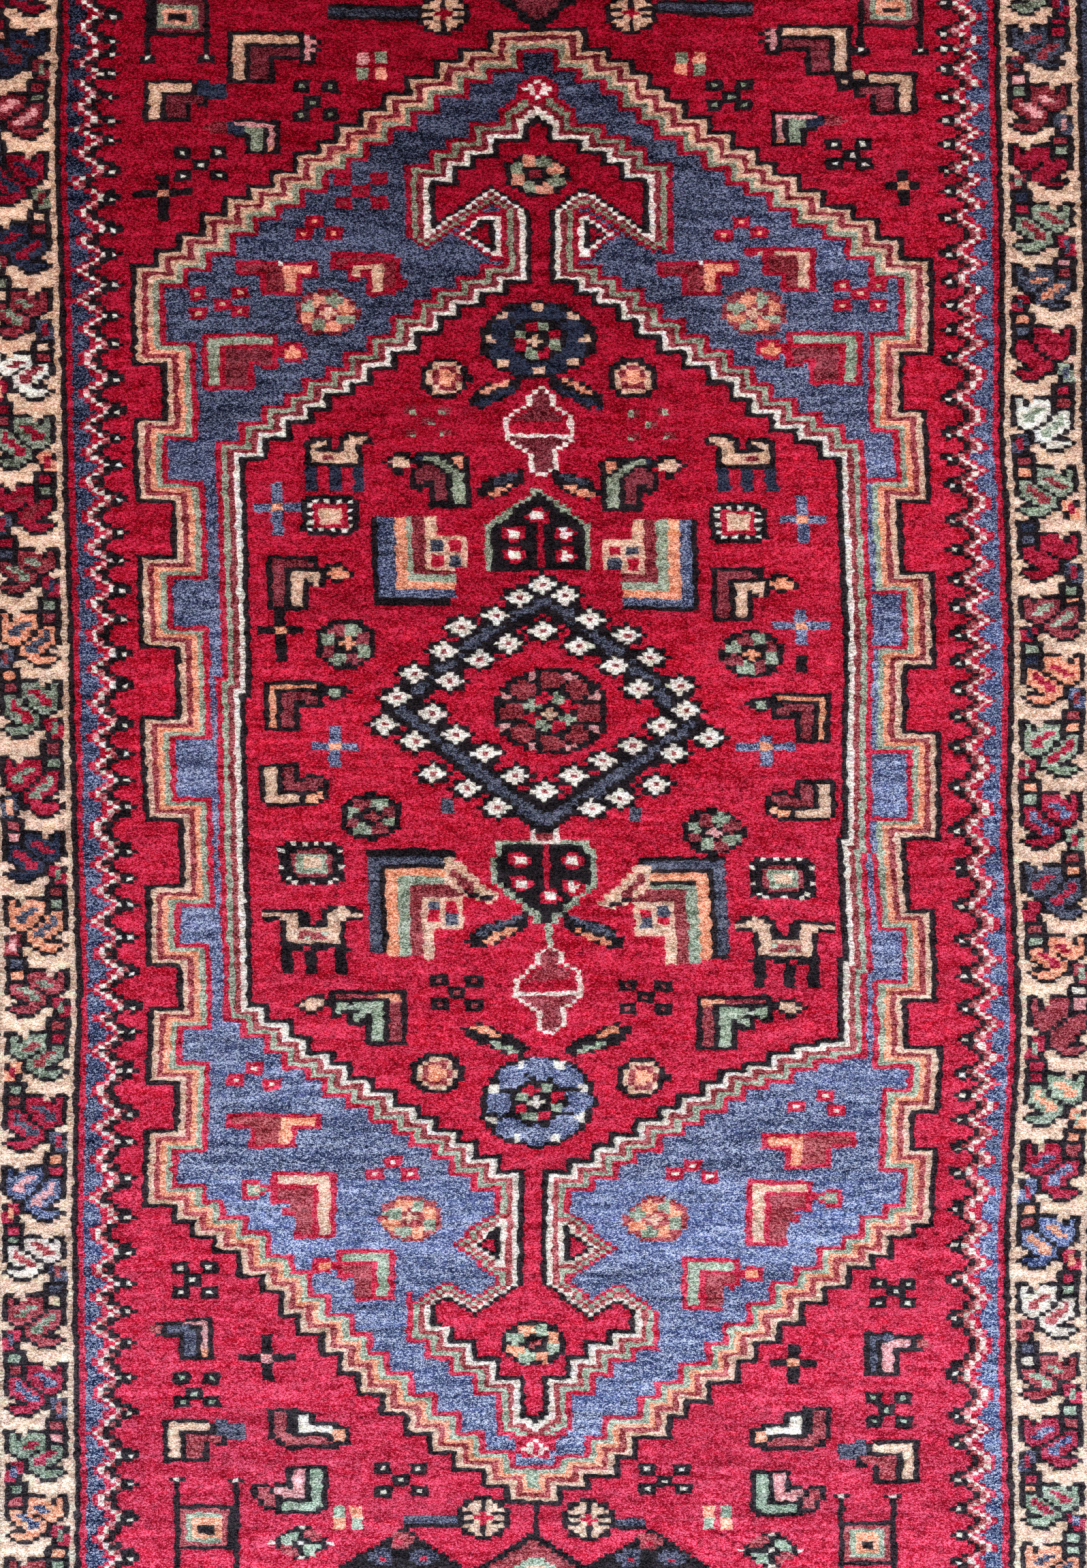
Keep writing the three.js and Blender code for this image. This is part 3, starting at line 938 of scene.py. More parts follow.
def fill_inner_red():
    small_flower(1.2, -150.8)
    small_flower(-1.3, 146.6)
    rosette(1, -108.8, 9.8, "N", 2.3, "C", 0.5, "GR", "C")
    rosette(-1.3, 85.6, 12, "B", 2.5, "W", 0, "GR", "W")
    twice(upper_leaves, 0.6)
    vase(1, -97)
    vase(-0.3, 44.6)
    for c, r in ((-14.8, -99), (17, -98.7), (-18.7, 78), (16.2, 79)):
        oval_flower(c, r)
    for c, r in ((-20.6, -90.6), (-15, -90.6), (-17.8, -87.6), (-20.6, -84.6), (-15, -84.6),
                 (17, -90), (22.6, -90), (20, -87), (17, -83.6), (22.8, -83.6)):
        bar("D", c - 1.2, r - 1, c + 0.9, r + 1)
        bar("G", c - 0.6, r - 0.6, c + 0.5, r + 0.6)
    hook_bird = """
..KKK.KKKKKKKK
.KCCKKNGGGKKPPK
KLCCCKKKKGGKPPK
.KCCC.KMMKGGKPK
..KK.KMMMMKGGKK
..KK.KMMMMMKGGK
.....KMMMMMKGGK
.....KMKKMMKGGK
.....KKKKMMKGGK
......K.KMMKGGK
........KMMKGGK*2
........KKKKGGK
........KKKKKKK"""
    both(hook_bird, -18.5, -73, 18.5, -72)
    both(GOAT, -33.2, -78, 35, -77)
    cross(-44.2, -66, 6.2, 7.2, 3.6, "B")
    cross(45.3, -63.3, 6, 6.4, 3.6, "B")
    both(SMALL_FRAME, -35.4, -63.5, 34.3, -62)
    twice(comb_upper, -0.3, 1.2)
    ladybug(0.3, -71.5, -61.5, -49.8,
            [(0.3, -63.8), (-4, -59.4), (4.7, -59.4), (-4, -54), (4.7, -53.6)], True)
    bar("R", -0.4, -63, 0.6, -50.5)
    ladybug(0.2, 19.2, 30, 37.6, [(-4.2, 23.7), (5, 24), (-4.2, 29.7), (4.8, 30.6), (0.7, 33.2)], False)
    bar("R", 0, 20.2, 1.1, 32)
    bar("K", -0.6, 37, 1.6, 40)
    bar("G", -1.6, 37.4, -0.6, 40)
    bar("G", 1.2, 37.4, 2.2, 40)
    bar("G", -0.2, 39.5, 0.9, 45)
    bar("W", -1.6, 15.8, 3.2, 20)
    bar("D", -0.6, 16.8, 2.4, 18.9)
    # The blue diamond band, edged in black, with its white stars.
    band = [
        (1, -43.5), (-11, -32), (-21, -19.5), (-24.2, -14.5), (-18, -8), (-11, 0.5), (-4, 9.5), (0.5, 14),
        (8, 7.5), (14, 1), (22, -7), (25.2, -11), (19.5, -20), (11, -31), (1, -43.5)]
    for letter, half in (("K", 2.5), ("S", 1.05)):
        for (ca, ra), (cb, rb) in zip(band, band[1:]):
            for share in np.linspace(0, 1, 40):
                c, r = ca + (cb - ca) * share, ra + (rb - ra) * share
                paint(((knot_c - c) / half) ** 2 + ((knot_r - r) / half / 1.25) ** 2 < 1, letter)
    for c, r in (
            (1, -46.7), (-3.2, -43.8), (4.8, -43.3), (-7, -38.8), (8.5, -37.8), (-13, -35), (14.7, -33.2),
            (-16.8, -30), (18.5, -27.5), (-21.5, -24), (23.3, -20.8), (-24.2, -17.8), (25, -14.5),
            (-26.4, -10.8), (28, -7), (-21, -6.8), (22.3, -3), (-18.3, 1.5), (19.5, 5), (-12.2, 5.8),
            (13.3, 7.8), (-7.3, 10), (8.3, 11), (0.8, -34.5), (-5.2, -31.2), (6.8, -30.5), (-10.5, -27.7),
            (12.5, -25.7), (-15.5, -22), (16.8, -19.3), (-18.7, -14), (20.7, -10.7), (-14.6, -8.5),
            (15.8, -6), (-9, -3.8), (11, -2), (-4.5, 2.2), (5.6, 3), (0.7, 6.5)):
        chart(STAR, c, r)
    rosette(1.6, -14, 11, "D", 2.0, "L", 0, "GR", "C")
    chart(HENS, -38.5, -46.8)
    chart(HENS, 37, -44.2)
    cross(-43.5, -35, 5.8, 8.5, 3.6, "K")
    cross(44, -36.5, 4, 5, 4.6, "B")
    bar("K", 43, -28, 45, -24)
    for c, r, heart in ((-33, -31.2, "P"), (35.7, -28.7, "P"), (-29, 12.5, "D"), (29.3, 16.5, "L")):
        wide_flower(c, r, "K", "GM", heart)
    both(LINE_BIRD, -38.8, -15.5, 40.6, -13)
    cross(-35.3, -5, 5.5, 5.5, 4.5, "B")
    cross(38.5, -5.2, 3.4, 5, 5, "B")
    both(FOOT_BIRD, -41.6, 4.4, 44, 9)
    for c, r in ((-16.3, 10), (16.3, 12)):
        block("S", c, r, 1.1, 1.6)
    both(DOTTED_FRAME, -39.5, 24.8, 41, 28.5)
    both(DONKEY, -39.5, 43.6, 40.5, 47.2)
    chart(GREEN_BIRD, -33.8, 63.7, True)
    chart(GREEN_BIRD, 34, 65.3)
    twice(comb_lower, 0.5, 1.4)
    twice(lower_leaves, -0.1)
    squares_five((-18.5, -12.5), (54.5, 60.5), -15.5, 57.5, "K", "M")
    squares_five((13, 19), (55.6, 61.4), 16, 58.7, "K", "M")


guard_lines()
side_borders()
end_borders()
fill_red_corners()
fill_blue_ground()
fill_inner_red()

# Edges of the pile, read from the knotted body, so that the pattern wanders with the real sides.
corners = np.array([tuple(v.co) for v in bpy.data.objects["rug_body"].data.vertices])
corners = corners[abs(corners[:, 1]) < PILE_LONG - 0.004]
rings = np.unique(np.round(corners[:, 1], 4))
ring_x = [corners[abs(corners[:, 1] - y) < 0.0002][:, 0] for y in rings]


def left_edge(y):
    return np.interp(y, rings, [x.min() for x in ring_x])


def right_edge(y):
    return np.interp(y, rings, [x.max() for x in ring_x])


# Colours of the dyed yarns, linear light, near the head, halfway and near the foot of the rug, which grows
# lighter and paler towards the foot, partly from uneven fading and partly as painted light and sheen, and
# how pale their tips are.
YARN = {
    "R": ((0.235, 0.0014, 0.0090), (0.49, 0.0078, 0.028), (0.585, 0.024, 0.069), 0.36),
    "K": ((0.0115, 0.0075, 0.0095), (0.014, 0.0105, 0.013), (0.025, 0.022, 0.029), 0.12),
    "C": ((0.66, 0.35, 0.225), (0.74, 0.45, 0.32), (0.92, 0.64, 0.50), 0.45),
    "W": ((0.98, 0.83, 0.70), (0.99, 0.89, 0.77), (0.99, 0.91, 0.82), 0.85),
    "D": ((0.140, 0.007, 0.0130), (0.255, 0.028, 0.037), (0.39, 0.066, 0.080), 0.38),
    "M": ((0.120, 0.011, 0.018), (0.245, 0.030, 0.043), (0.40, 0.066, 0.089), 0.36),
    "G": ((0.20, 0.20, 0.13), (0.27, 0.32, 0.235), (0.36, 0.49, 0.39), 0.45),
    "P": ((0.74, 0.265, 0.175), (0.93, 0.32, 0.18), (0.95, 0.40, 0.26), 0.45),
    "L": ((0.62, 0.22, 0.22), (0.78, 0.32, 0.33), (0.85, 0.38, 0.42), 0.45),
    "B": ((0.015, 0.017, 0.036), (0.090, 0.109, 0.222), (0.107, 0.152, 0.345), 0.60),
    "S": ((0.030, 0.030, 0.048), (0.055, 0.060, 0.095), (0.070, 0.078, 0.140), 0.40),
    "N": ((0.019, 0.022, 0.043), (0.028, 0.034, 0.065), (0.034, 0.041, 0.080), 0.22)}
# A deeper red and a paler cream in the main border, duller green down its left side, and duller blue
# down both zigzags, most on the left.
in_border = (abs(knot_c) > 80) | (abs(knot_r) > 232)
LOCAL_TINTS = (
    ("R", in_border, (0.74, 1.15, 1.05)), ("C", in_border, (1.10, 1.16, 1.18)),
    ("G", knot_c < -80, (0.68, 0.68, 0.68)), ("B", knot_c < -70, (0.44, 0.47, 0.54)),
    ("B", knot_c > 70, (0.78, 0.84, 0.90)))


def soft_steps(count, every, spread):
    # Smooth uneven bands along the rug, where one dye lot gives way to the next.
    marks = np.arange(0, count + every, every)
    return np.interp(np.arange(count), marks, chance.normal(0, spread, len(marks)))


def mean_of_four(grid):
    return (grid[:-1, :-1] + grid[1:, :-1] + grid[:-1, 1:] + grid[1:, 1:]) / 4


# Fading and painted sheen: lighter and paler most at the foot and least at the head, and more along the
# right side.
fading_and_sheen = np.clip((row_r + 190) / 380, 0, 1)[:, None]
fading_and_sheen = fading_and_sheen + 0.26 * (1 - fading_and_sheen) ** 1.3 * np.clip((column_c - 8) / 45, 0, 1)
fading_and_sheen = fading_and_sheen + 0.06 * np.clip((abs(column_c) - 18) / 28, 0, 1)
fading_and_sheen = np.clip(fading_and_sheen - 0.02, 0, 1)
# These colours carry real fading and painted light and sheen together.
knot_colour = np.zeros((ROWS, COLS, 4))
for letter, (head, middle, foot, tips) in YARN.items():
    lot = 1 + soft_steps(ROWS, 17, 0.07) + soft_steps(ROWS, 4, 0.06)
    if letter == "B":
        lot += soft_steps(ROWS, 7, 0.13)
    where = cloth == DYE[letter]
    for channel in range(3):
        tones = np.log((head[channel], middle[channel], foot[channel]))
        tint = np.exp(np.interp(fading_and_sheen, (0, 0.5, 1), tones)) * lot[:, None]
        for dye, area, change in LOCAL_TINTS:
            if dye == letter:
                tint = tint * np.where(area, change[channel], 1)
        knot_colour[..., channel][where] = tint[where]
    knot_colour[..., 3][where] = tips
# Tips grow paler towards the foot and the right side: painted sheen.
knot_colour[..., 3] *= 0.75 + 0.5 * fading_and_sheen
# Short runs along single rows come from a lighter or darker skein, plainest on the blue.
skeins = np.array([soft_steps(COLS, 18, 1) for row in range(ROWS)])
knot_colour[..., :3] *= 1 + (skeins * np.where(cloth == DYE["B"], 0.17, 0.06))[..., None]
knot_colour[..., :3] *= 1 + chance.normal(0, 0.15, (ROWS, COLS, 1))
knot_colour[..., :3] *= 1 + chance.normal(0, 0.03, (ROWS, COLS, 3))
knot_colour = np.clip(knot_colour, 0.001, 1)
# Colour at each corner between four knots: dark yarn shows more than pale yarn there.
corner_colour = np.exp(mean_of_four(np.log(np.pad(knot_colour, ((1, 1), (1, 1), (0, 0)), mode="edge"))))


def smooth_field(rows, cols, cell, spread):
    # Slow unevenness over the whole cloth, from a coarse grid of chance values.
    coarse = chance.normal(0, spread, (rows // cell + 3, cols // cell + 3))
    down = np.arange(rows) / cell
    along = np.arange(cols) / cell
    first = np.array([np.interp(along, np.arange(coarse.shape[1]), line) for line in coarse])
    return np.array([np.interp(down, np.arange(coarse.shape[0]), first[:, n]) for n in range(cols)]).T


def across_rug(y):
    # Places from the left to the right edge of the pile at each y.
    share = np.arange(COLS + 1) / COLS
    return left_edge(y)[:, None] * (1 - share) + right_edge(y)[:, None] * share


# Corner points of the knots: straight rows and columns that wander a little.
edge_y = PILE_LONG - np.arange(ROWS + 1) * ROW
spot_x = across_rug(edge_y)
spot_y = np.repeat(edge_y[:, None], COLS + 1, 1)
inner = np.pad(np.ones((ROWS - 1, COLS - 1)), 1)
spot_x = spot_x + inner * (chance.normal(0, 0.16 * KNOT, spot_x.shape)
                           + smooth_field(ROWS + 1, COLS + 1, 9, 0.10 * KNOT))
spot_y = spot_y + inner * (chance.normal(0, 0.17 * ROW, spot_x.shape)
                           + smooth_field(ROWS + 1, COLS + 1, 9, 0.28 * ROW))

# Pile height: dark yarn worn lower, undyed yarn standing higher, and slow waves in the cloth. It rounds
# off towards its edges, and dips between the knots.
EDGE_ROUND, EDGE_FALL = 0.0026, 0.0022
CORNER_DIP, RIM_FALL = 0.00055, 0.0034
LIFT = {"K": -0.0005, "N": -0.0003, "W": 0.00035, "C": 0.0002, "P": 0.0001, "G": 0.0001}
knot_high = np.full((ROWS, COLS), THICK - 0.0009)
for letter, more in LIFT.items():
    knot_high[cloth == DYE[letter]] += more
knot_high += chance.normal(0, 0.00020, (ROWS, COLS)) + smooth_field(ROWS, COLS, 14, 0.00022)


def edge_drop(count, size):
    # How far the pile rounds off near both ends of a line of knots.
    from_edge = np.minimum(np.arange(count) + 0.5, count - 0.5 - np.arange(count)) * size
    return np.clip(1 - from_edge / EDGE_ROUND, 0, 1) ** 2


knot_high -= EDGE_FALL * np.clip(edge_drop(COLS, KNOT)[None] + edge_drop(ROWS, ROW)[:, None], 0, 1)
corner_high = mean_of_four(np.pad(knot_high, 1, mode="edge"))
corner_high = corner_high - CORNER_DIP + chance.normal(0, 0.00012, corner_high.shape)
corner_high[0] = corner_high[-1] = THICK - RIM_FALL
corner_high[:, 0] = corner_high[:, -1] = THICK - RIM_FALL


def add_piece(name, mesh):
    piece = bpy.data.objects.new(name, mesh)
    bpy.context.scene.collection.objects.link(piece)
    return piece


def add_mesh(name, points, faces, material, corner_values=None):
    # Faces come as rows of three corner numbers.
    mesh = bpy.data.meshes.new(name)
    mesh.vertices.add(len(points))
    mesh.vertices.foreach_set("co", np.asarray(points, np.float32).ravel())
    mesh.loops.add(faces.size)
    mesh.loops.foreach_set("vertex_index", np.asarray(faces, np.int32).ravel())
    mesh.polygons.add(len(faces))
    mesh.polygons.foreach_set("loop_start", np.arange(len(faces), dtype=np.int32) * 3)
    mesh.polygons.foreach_set("loop_total", np.full(len(faces), 3, np.int32))
    mesh.update(calc_edges=True)
    if corner_values is not None:
        yarn = mesh.color_attributes.new("yarn", "FLOAT_COLOR", "CORNER")
        yarn.data.foreach_set("color", corner_values.astype(np.float32).ravel())
    mesh.materials.append(material)
    return add_piece(name, mesh)


def smooth(piece):
    piece.data.polygons.foreach_set("use_smooth", np.ones(len(piece.data.polygons), bool))


def feed(tree, node, settings):
    # A setting is a plain value or the socket that feeds it.
    for key, value in settings.items():
        if isinstance(value, bpy.types.NodeSocket):
            tree.links.new(value, node.inputs[key])
        else:
            node.inputs[key].default_value = value


def add_node(tree, kind, settings, operation=None):
    # Gives the first output of the new node.
    node = tree.nodes.new(kind)
    if operation:
        node.operation = operation
    feed(tree, node, settings)
    return node.outputs[0]


def wool_material(name, colour=None, fine=1.0, bump=0.0006):
    # Cut or spun wool: fine slanting fibres, pale at their tips, partly by a painted highlight, with
    # painted shade in the gaps between them.
    material = bpy.data.materials.new(name)
    material.use_nodes = True
    tree = material.node_tree

    def noise(place, turn, stretch, detail):
        turned = add_node(tree, "ShaderNodeMapping",
                          {"Vector": place, "Rotation": (0, 0, turn), "Scale": stretch})
        return add_node(tree, "ShaderNodeTexNoise",
                        {"Vector": turned, "Scale": 1.0, "Detail": detail, "Roughness": 0.55})

    def maths(kind, a, b):
        return add_node(tree, "ShaderNodeMath", {0: a, 1: b}, kind)

    def ranged(value, low, high, to_low, to_high):
        return add_node(tree, "ShaderNodeMapRange", {"Value": value, "From Min": low, "From Max": high,
                                                    "To Min": to_low, "To Max": to_high})

    coords = tree.nodes.new("ShaderNodeTexCoord").outputs["Object"]
    if colour is None:
        source = tree.nodes.new("ShaderNodeAttribute")
        source.attribute_name = "yarn"
        base = source.outputs["Color"]
        paleness = source.outputs["Alpha"]
    else:
        base = tree.nodes.new("ShaderNodeRGB").outputs[0]
        base.default_value = (*colour, 1)
        paleness = 0.4
    drift = add_node(tree, "ShaderNodeTexNoise", {"Vector": coords, "Scale": 16.0, "Detail": 1.0})
    swept = add_node(tree, "ShaderNodeVectorMath",
                     {0: drift.node.outputs["Color"], 1: (0.010, 0.008, 0), 2: coords}, "MULTIPLY_ADD")
    fibre = noise(swept, 0.2, (1500 * fine, 2600 * fine, 700), 1.0)
    clump = noise(swept, -0.12, (600 * fine, 1050 * fine, 300), 2.0)
    cloud = noise(swept, 0, (45, 230, 70), 3.0)
    height = maths("ADD", maths("MULTIPLY", fibre, 0.46), maths("MULTIPLY", clump, 0.36))
    height = maths("ADD", height, maths("MULTIPLY", cloud, 0.18))
    # A yarn's colour raised to a power and scaled: painted shade, deep and strong, in the gaps, and pale
    # tips brightened by a painted highlight.
    pale = maths("MULTIPLY", ranged(height, 0.49, 0.58, 0.0, 1.0), paleness)
    power = maths("SUBTRACT", ranged(height, 0.42, 0.51, 1.55, 1.0), pale)
    tone = add_node(tree, "ShaderNodeGamma", {"Color": base, "Gamma": power})
    gap_shade_tip_highlight = add_node(tree, "ShaderNodeVectorMath",
                      {0: tone, "Scale": ranged(height, 0.42, 0.58, 0.52, 1.2)}, "SCALE")
    relief = add_node(tree, "ShaderNodeBump", {"Strength": 0.8, "Distance": bump, "Height": height})
    feed(tree, tree.nodes["Principled BSDF"],
         {"Base Color": gap_shade_tip_highlight, "Roughness": 0.92, "Specular IOR Level": 0.03, "Normal": relief})
    return material


def squares(lines, wide):
    # The four corner numbers of each square in a sheet of points.
    j, i = np.mgrid[0:lines - 1, 0:wide - 1]
    a = (j * wide + i).ravel()
    return a, a + 1, a + wide + 1, a + wide


def walls(lines, wide, low):
    # Upright faces round the four sides of a sheet of points and the sheet under it.
    faces = []
    down, along = np.arange(lines) * wide, np.arange(wide)
    for line, flip in ((down, True), (down + wide - 1, False),
                       (along, False), (along + (lines - 1) * wide, True)):
        p, q = line[:-1], line[1:]
        for face in ([p, q, q + low], [p, q + low, p + low]):
            faces.append(np.stack(face[::-1] if flip else face, -1))
    return faces


def under_faces(a, b, c, d, low):
    return [np.stack([a, b, c], -1) + low, np.stack([a, c, d], -1) + low]


def stacked(x, y, z):
    return np.stack([x, y, z], -1).reshape(-1, 3)


# The pile in four bands. Each knot is four faces that rise to its middle.
pile_wool = wool_material("pile_wool")
PARTS = ((0, 136), (136, 271), (271, 406), (406, 542))
MAP_HALF = 0.39
wide = COLS + 1
for number, (first, last) in enumerate(PARTS):
    rows = last - first
    sx, sy, sz = spot_x[first:last + 1], spot_y[first:last + 1], corner_high[first:last + 1]
    top = stacked(sx, sy, sz)
    middle = stacked(mean_of_four(sx), mean_of_four(sy), knot_high[first:last])
    points = np.concatenate([top, middle, stacked(sx, sy, np.zeros(sx.shape))])
    low = len(top) + len(middle)
    a, b, c, d = squares(rows + 1, wide)
    e = len(top) + np.arange(len(a))
    faces = [np.stack([p, q, e], -1) for p, q in ((a, d), (d, c), (c, b), (b, a))]
    wall = np.concatenate(walls(rows + 1, wide, low))
    own = knot_colour[first:last].reshape(-1, 4)
    shared = corner_colour[first:last + 1].reshape(-1, 4)

    def at(corner):
        # A pale knot gives way at its corners to darker ones beside it.
        near = shared[corner]
        give = 0.26 + 0.6 * np.clip(own[:, :3].mean(1) - near[:, :3].mean(1), 0, 1)[:, None]
        return own * (1 - give) + near * give

    values = [np.stack([at(p), at(q), own], 1) for p, q in ((a, d), (d, c), (c, b), (b, a))]
    # The underside is painted darker, at 0.55 and 0.8 of each knot's colour, and the side walls at 0.8:
    # painted shade.
    for painted_shades in ((0.55, 0.8, 0.55), (0.55, 0.55, 0.8)):
        values.append(np.stack([own * shade for shade in painted_shades], 1))
    wall_rows = np.clip((wall % low) // wide, 0, rows - 1)
    wall_cols = np.clip((wall % low) % wide, 0, COLS - 1)
    values.append(knot_colour[first:last][wall_rows, wall_cols] * 0.8)
    piece = add_mesh("pile_" + str(number + 1), points,
                     np.concatenate(faces + under_faces(a, b, c, d, low) + [wall]), pile_wool,
                     np.concatenate(values))
    # The upper side takes the lower half of the map and the underside the rest.
    flat = piece.data.uv_layers.new(name="OFBake")
    vertex_of = np.zeros(len(piece.data.loops), np.int32)
    piece.data.loops.foreach_get("vertex_index", vertex_of)
    xy = points[vertex_of][:, :2]
    foot, head = points[:, 1].min(), points[:, 1].max()
    turned = np.zeros((len(xy), 2), np.float32)
    turned[:, 0] = (xy[:, 0] + MAP_HALF) / (2 * MAP_HALF)
    turned[:, 1] = (xy[:, 1] - foot) / (head - foot)
    turned[:, 1] *= 0.485
    group = np.arange(len(xy)) // 3 // len(a)
    is_under = (group == 4) | (group == 5)
    turned[is_under, 1] += 0.51
    turned[~is_under, 1] += 0.005
    flat.data.foreach_set("uv", turned.ravel())
    smooth(piece)
    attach(piece, "root")

# Foundation of warps and wefts: one thin cloth inside the knots, bare at the two woven ends.
weft_wool = wool_material("undyed_wool", (0.60, 0.47, 0.33), 0.8, 0.0005)
band = np.linspace(PILE_LONG - 0.0008, CLOTH_LONG, 19)
cloth_y = np.concatenate([band[::-1], -band])
grid_x = across_rug(cloth_y)
grid_y = np.repeat(cloth_y[:, None], wide, 1) + chance.normal(0, 0.00012, grid_x.shape)
check = (np.indices(grid_x.shape).sum(0) % 2)
high = 0.0019 + 0.0006 * check + chance.normal(0, 0.00008, grid_x.shape)
under = 0.0006 - 0.0004 * check
high[[0, -1]] = 0.0015
under[[0, -1]] = 0.0006
lines = len(cloth_y)
low = lines * wide
a, b, c, d = squares(lines, wide)
faces = [np.stack([a, d, c], -1), np.stack([a, c, b], -1)] + under_faces(a, b, c, d, low)
points = np.concatenate([stacked(grid_x, grid_y, high), stacked(grid_x, grid_y, under)])
foundation = add_mesh("foundation", points, np.concatenate(faces + walls(lines, wide, low)), weft_wool)
smooth(foundation)
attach(foundation, "root")
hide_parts("rug_body")


def node_group(name, sockets):
    # Gives the group, its inputs and the node that ends it.
    group = bpy.data.node_groups.new(name, "GeometryNodeTree")
    group.interface.new_socket("Geometry", in_out="INPUT", socket_type="NodeSocketGeometry")
    for label, kind, value in sockets:
        socket = group.interface.new_socket(label, in_out="INPUT", socket_type=kind)
        socket.default_value = value
    group.interface.new_socket("Material", in_out="INPUT", socket_type="NodeSocketMaterial")
    group.interface.new_socket("Geometry", in_out="OUTPUT", socket_type="NodeSocketGeometry")
    return group, group.nodes.new("NodeGroupInput").outputs, group.nodes.new("NodeGroupOutput")


def end_group(group, given, finish, geometry):
    real = add_node(group, "GeometryNodeRealizeInstances", {"Geometry": geometry})
    dyed = add_node(group, "GeometryNodeSetMaterial", {"Geometry": real, "Material": given["Material"]})
    feed(group, finish, {"Geometry": dyed})
    return group


def apply_nodes(piece, group, settings):
    # Runs the node group once and keeps its result as plain mesh.
    modifier = piece.modifiers.new(group.name, "NODES")
    modifier.node_group = group
    for item in group.interface.items_tree:
        if item.in_out == "INPUT" and item.name in settings:
            modifier[item.identifier] = settings[item.name]
    graph = bpy.context.evaluated_depsgraph_get()
    graph.update()
    mesh = bpy.data.meshes.new_from_object(piece.evaluated_get(graph))
    piece.modifiers.remove(modifier)
    old = piece.data
    piece.data = mesh
    bpy.data.meshes.remove(old)
    mesh.name = piece.name
    smooth(piece)


def overcast_group():
    # A flattened ring of yarn on each point, leaning a little more or less.
    group, given, finish = node_group("overcast_wraps", [
        ("Half width", "NodeSocketFloat", 0.0033), ("Half height", "NodeSocketFloat", 0.0026),
        ("Yarn half width", "NodeSocketFloat", 0.0019), ("Yarn half depth", "NodeSocketFloat", 0.0007),
        ("Seed", "NodeSocketInt", 5)])

    def flat_ring(points, across, up):
        ring = add_node(group, "GeometryNodeCurvePrimitiveCircle", {"Resolution": points, "Radius": 1.0})
        size = add_node(group, "ShaderNodeCombineXYZ", {"X": given[across], "Y": given[up], "Z": 1.0})
        return add_node(group, "GeometryNodeTransform", {"Geometry": ring, "Scale": size})

    oval = flat_ring(10, "Half width", "Half height")
    section = flat_ring(5, "Yarn half depth", "Yarn half width")
    tube = add_node(group, "GeometryNodeCurveToMesh", {"Curve": oval, "Profile Curve": section})
    upright = add_node(group, "GeometryNodeTransform", {"Geometry": tube, "Rotation": (math.pi / 2, 0, 0)})
    lean = group.nodes.new("FunctionNodeRandomValue")
    lean.data_type = "FLOAT_VECTOR"
    feed(group, lean, {0: (-0.06, -0.2, 0.16), 1: (0.06, 0.2, 0.34), "Seed": given["Seed"]})
    wraps = add_node(group, "GeometryNodeInstanceOnPoints",
                     {"Points": given["Geometry"], "Instance": upright, "Rotation": lean.outputs[0]})
    return end_group(group, given, finish, wraps)


def line_mesh(name, runs, joined=True):
    points = [point for run_points in runs for point in run_points]
    edges = []
    first = 0
    for run_points in runs:
        if joined:
            edges += [(first + n, first + n + 1) for n in range(len(run_points) - 1)]
        first += len(run_points)
    mesh = bpy.data.meshes.new(name)
    mesh.from_pydata(points, edges, [])
    return add_piece(name, mesh)


overcast = overcast_group()
edging_wool = wool_material("overcast_wool", (0.020, 0.026, 0.045), 0.8, 0.0005)
WRAP = 0.0034
CORE_HIGH, CORE_OUT = 0.0033, 0.0043
CORE_HALF_WIDE, CORE_HALF_TALL = 0.0031, 0.0024
SIDES, STOPS = 10, 60
wrap_count = int((2 * CLOTH_LONG - 0.006) / WRAP)
wrap_y = (np.arange(wrap_count) - (wrap_count - 1) / 2) * WRAP
core_y = np.linspace(wrap_y[0] - 0.001, wrap_y[-1] + 0.001, STOPS)
for side, edge, name in ((-1, left_edge, "left"), (1, right_edge, "right")):
    spots = np.stack([edge(wrap_y) + side * CORE_OUT, wrap_y, np.full(wrap_count, CORE_HIGH)], -1)
    spots[:, 1] += chance.normal(0, 0.0002, wrap_count)
    wraps = line_mesh("overcast_" + name, [spots.tolist()], joined=False)
    apply_nodes(wraps, overcast, {"Material": edging_wool, "Seed": 11 + side})
    # A plain core of ten sides fills the wraps.
    shell = [(x + CORE_HALF_WIDE * math.cos(t), y, CORE_HIGH + CORE_HALF_TALL * math.sin(t))
             for x, y in zip(edge(core_y) + side * CORE_OUT, core_y)
             for t in np.arange(SIDES) * math.tau / SIDES]
    end = SIDES * (STOPS - 1)
    skin = [(n + k, n + SIDES + k, n + SIDES + (k + 1) % SIDES, n + (k + 1) % SIDES)
            for n in range(0, end, SIDES) for k in range(SIDES)]
    skin += [tuple(range(SIDES)), tuple(range(end + SIDES - 1, end - 1, -1))]
    mesh = bpy.data.meshes.new("selvedge_core_" + name)
    mesh.from_pydata(shell, [], skin)
    mesh.materials.append(edging_wool)
    core = add_piece("selvedge_core_" + name, mesh)
    for piece in (wraps, core):
        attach(piece, "root")
    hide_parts("selvedge_" + name)


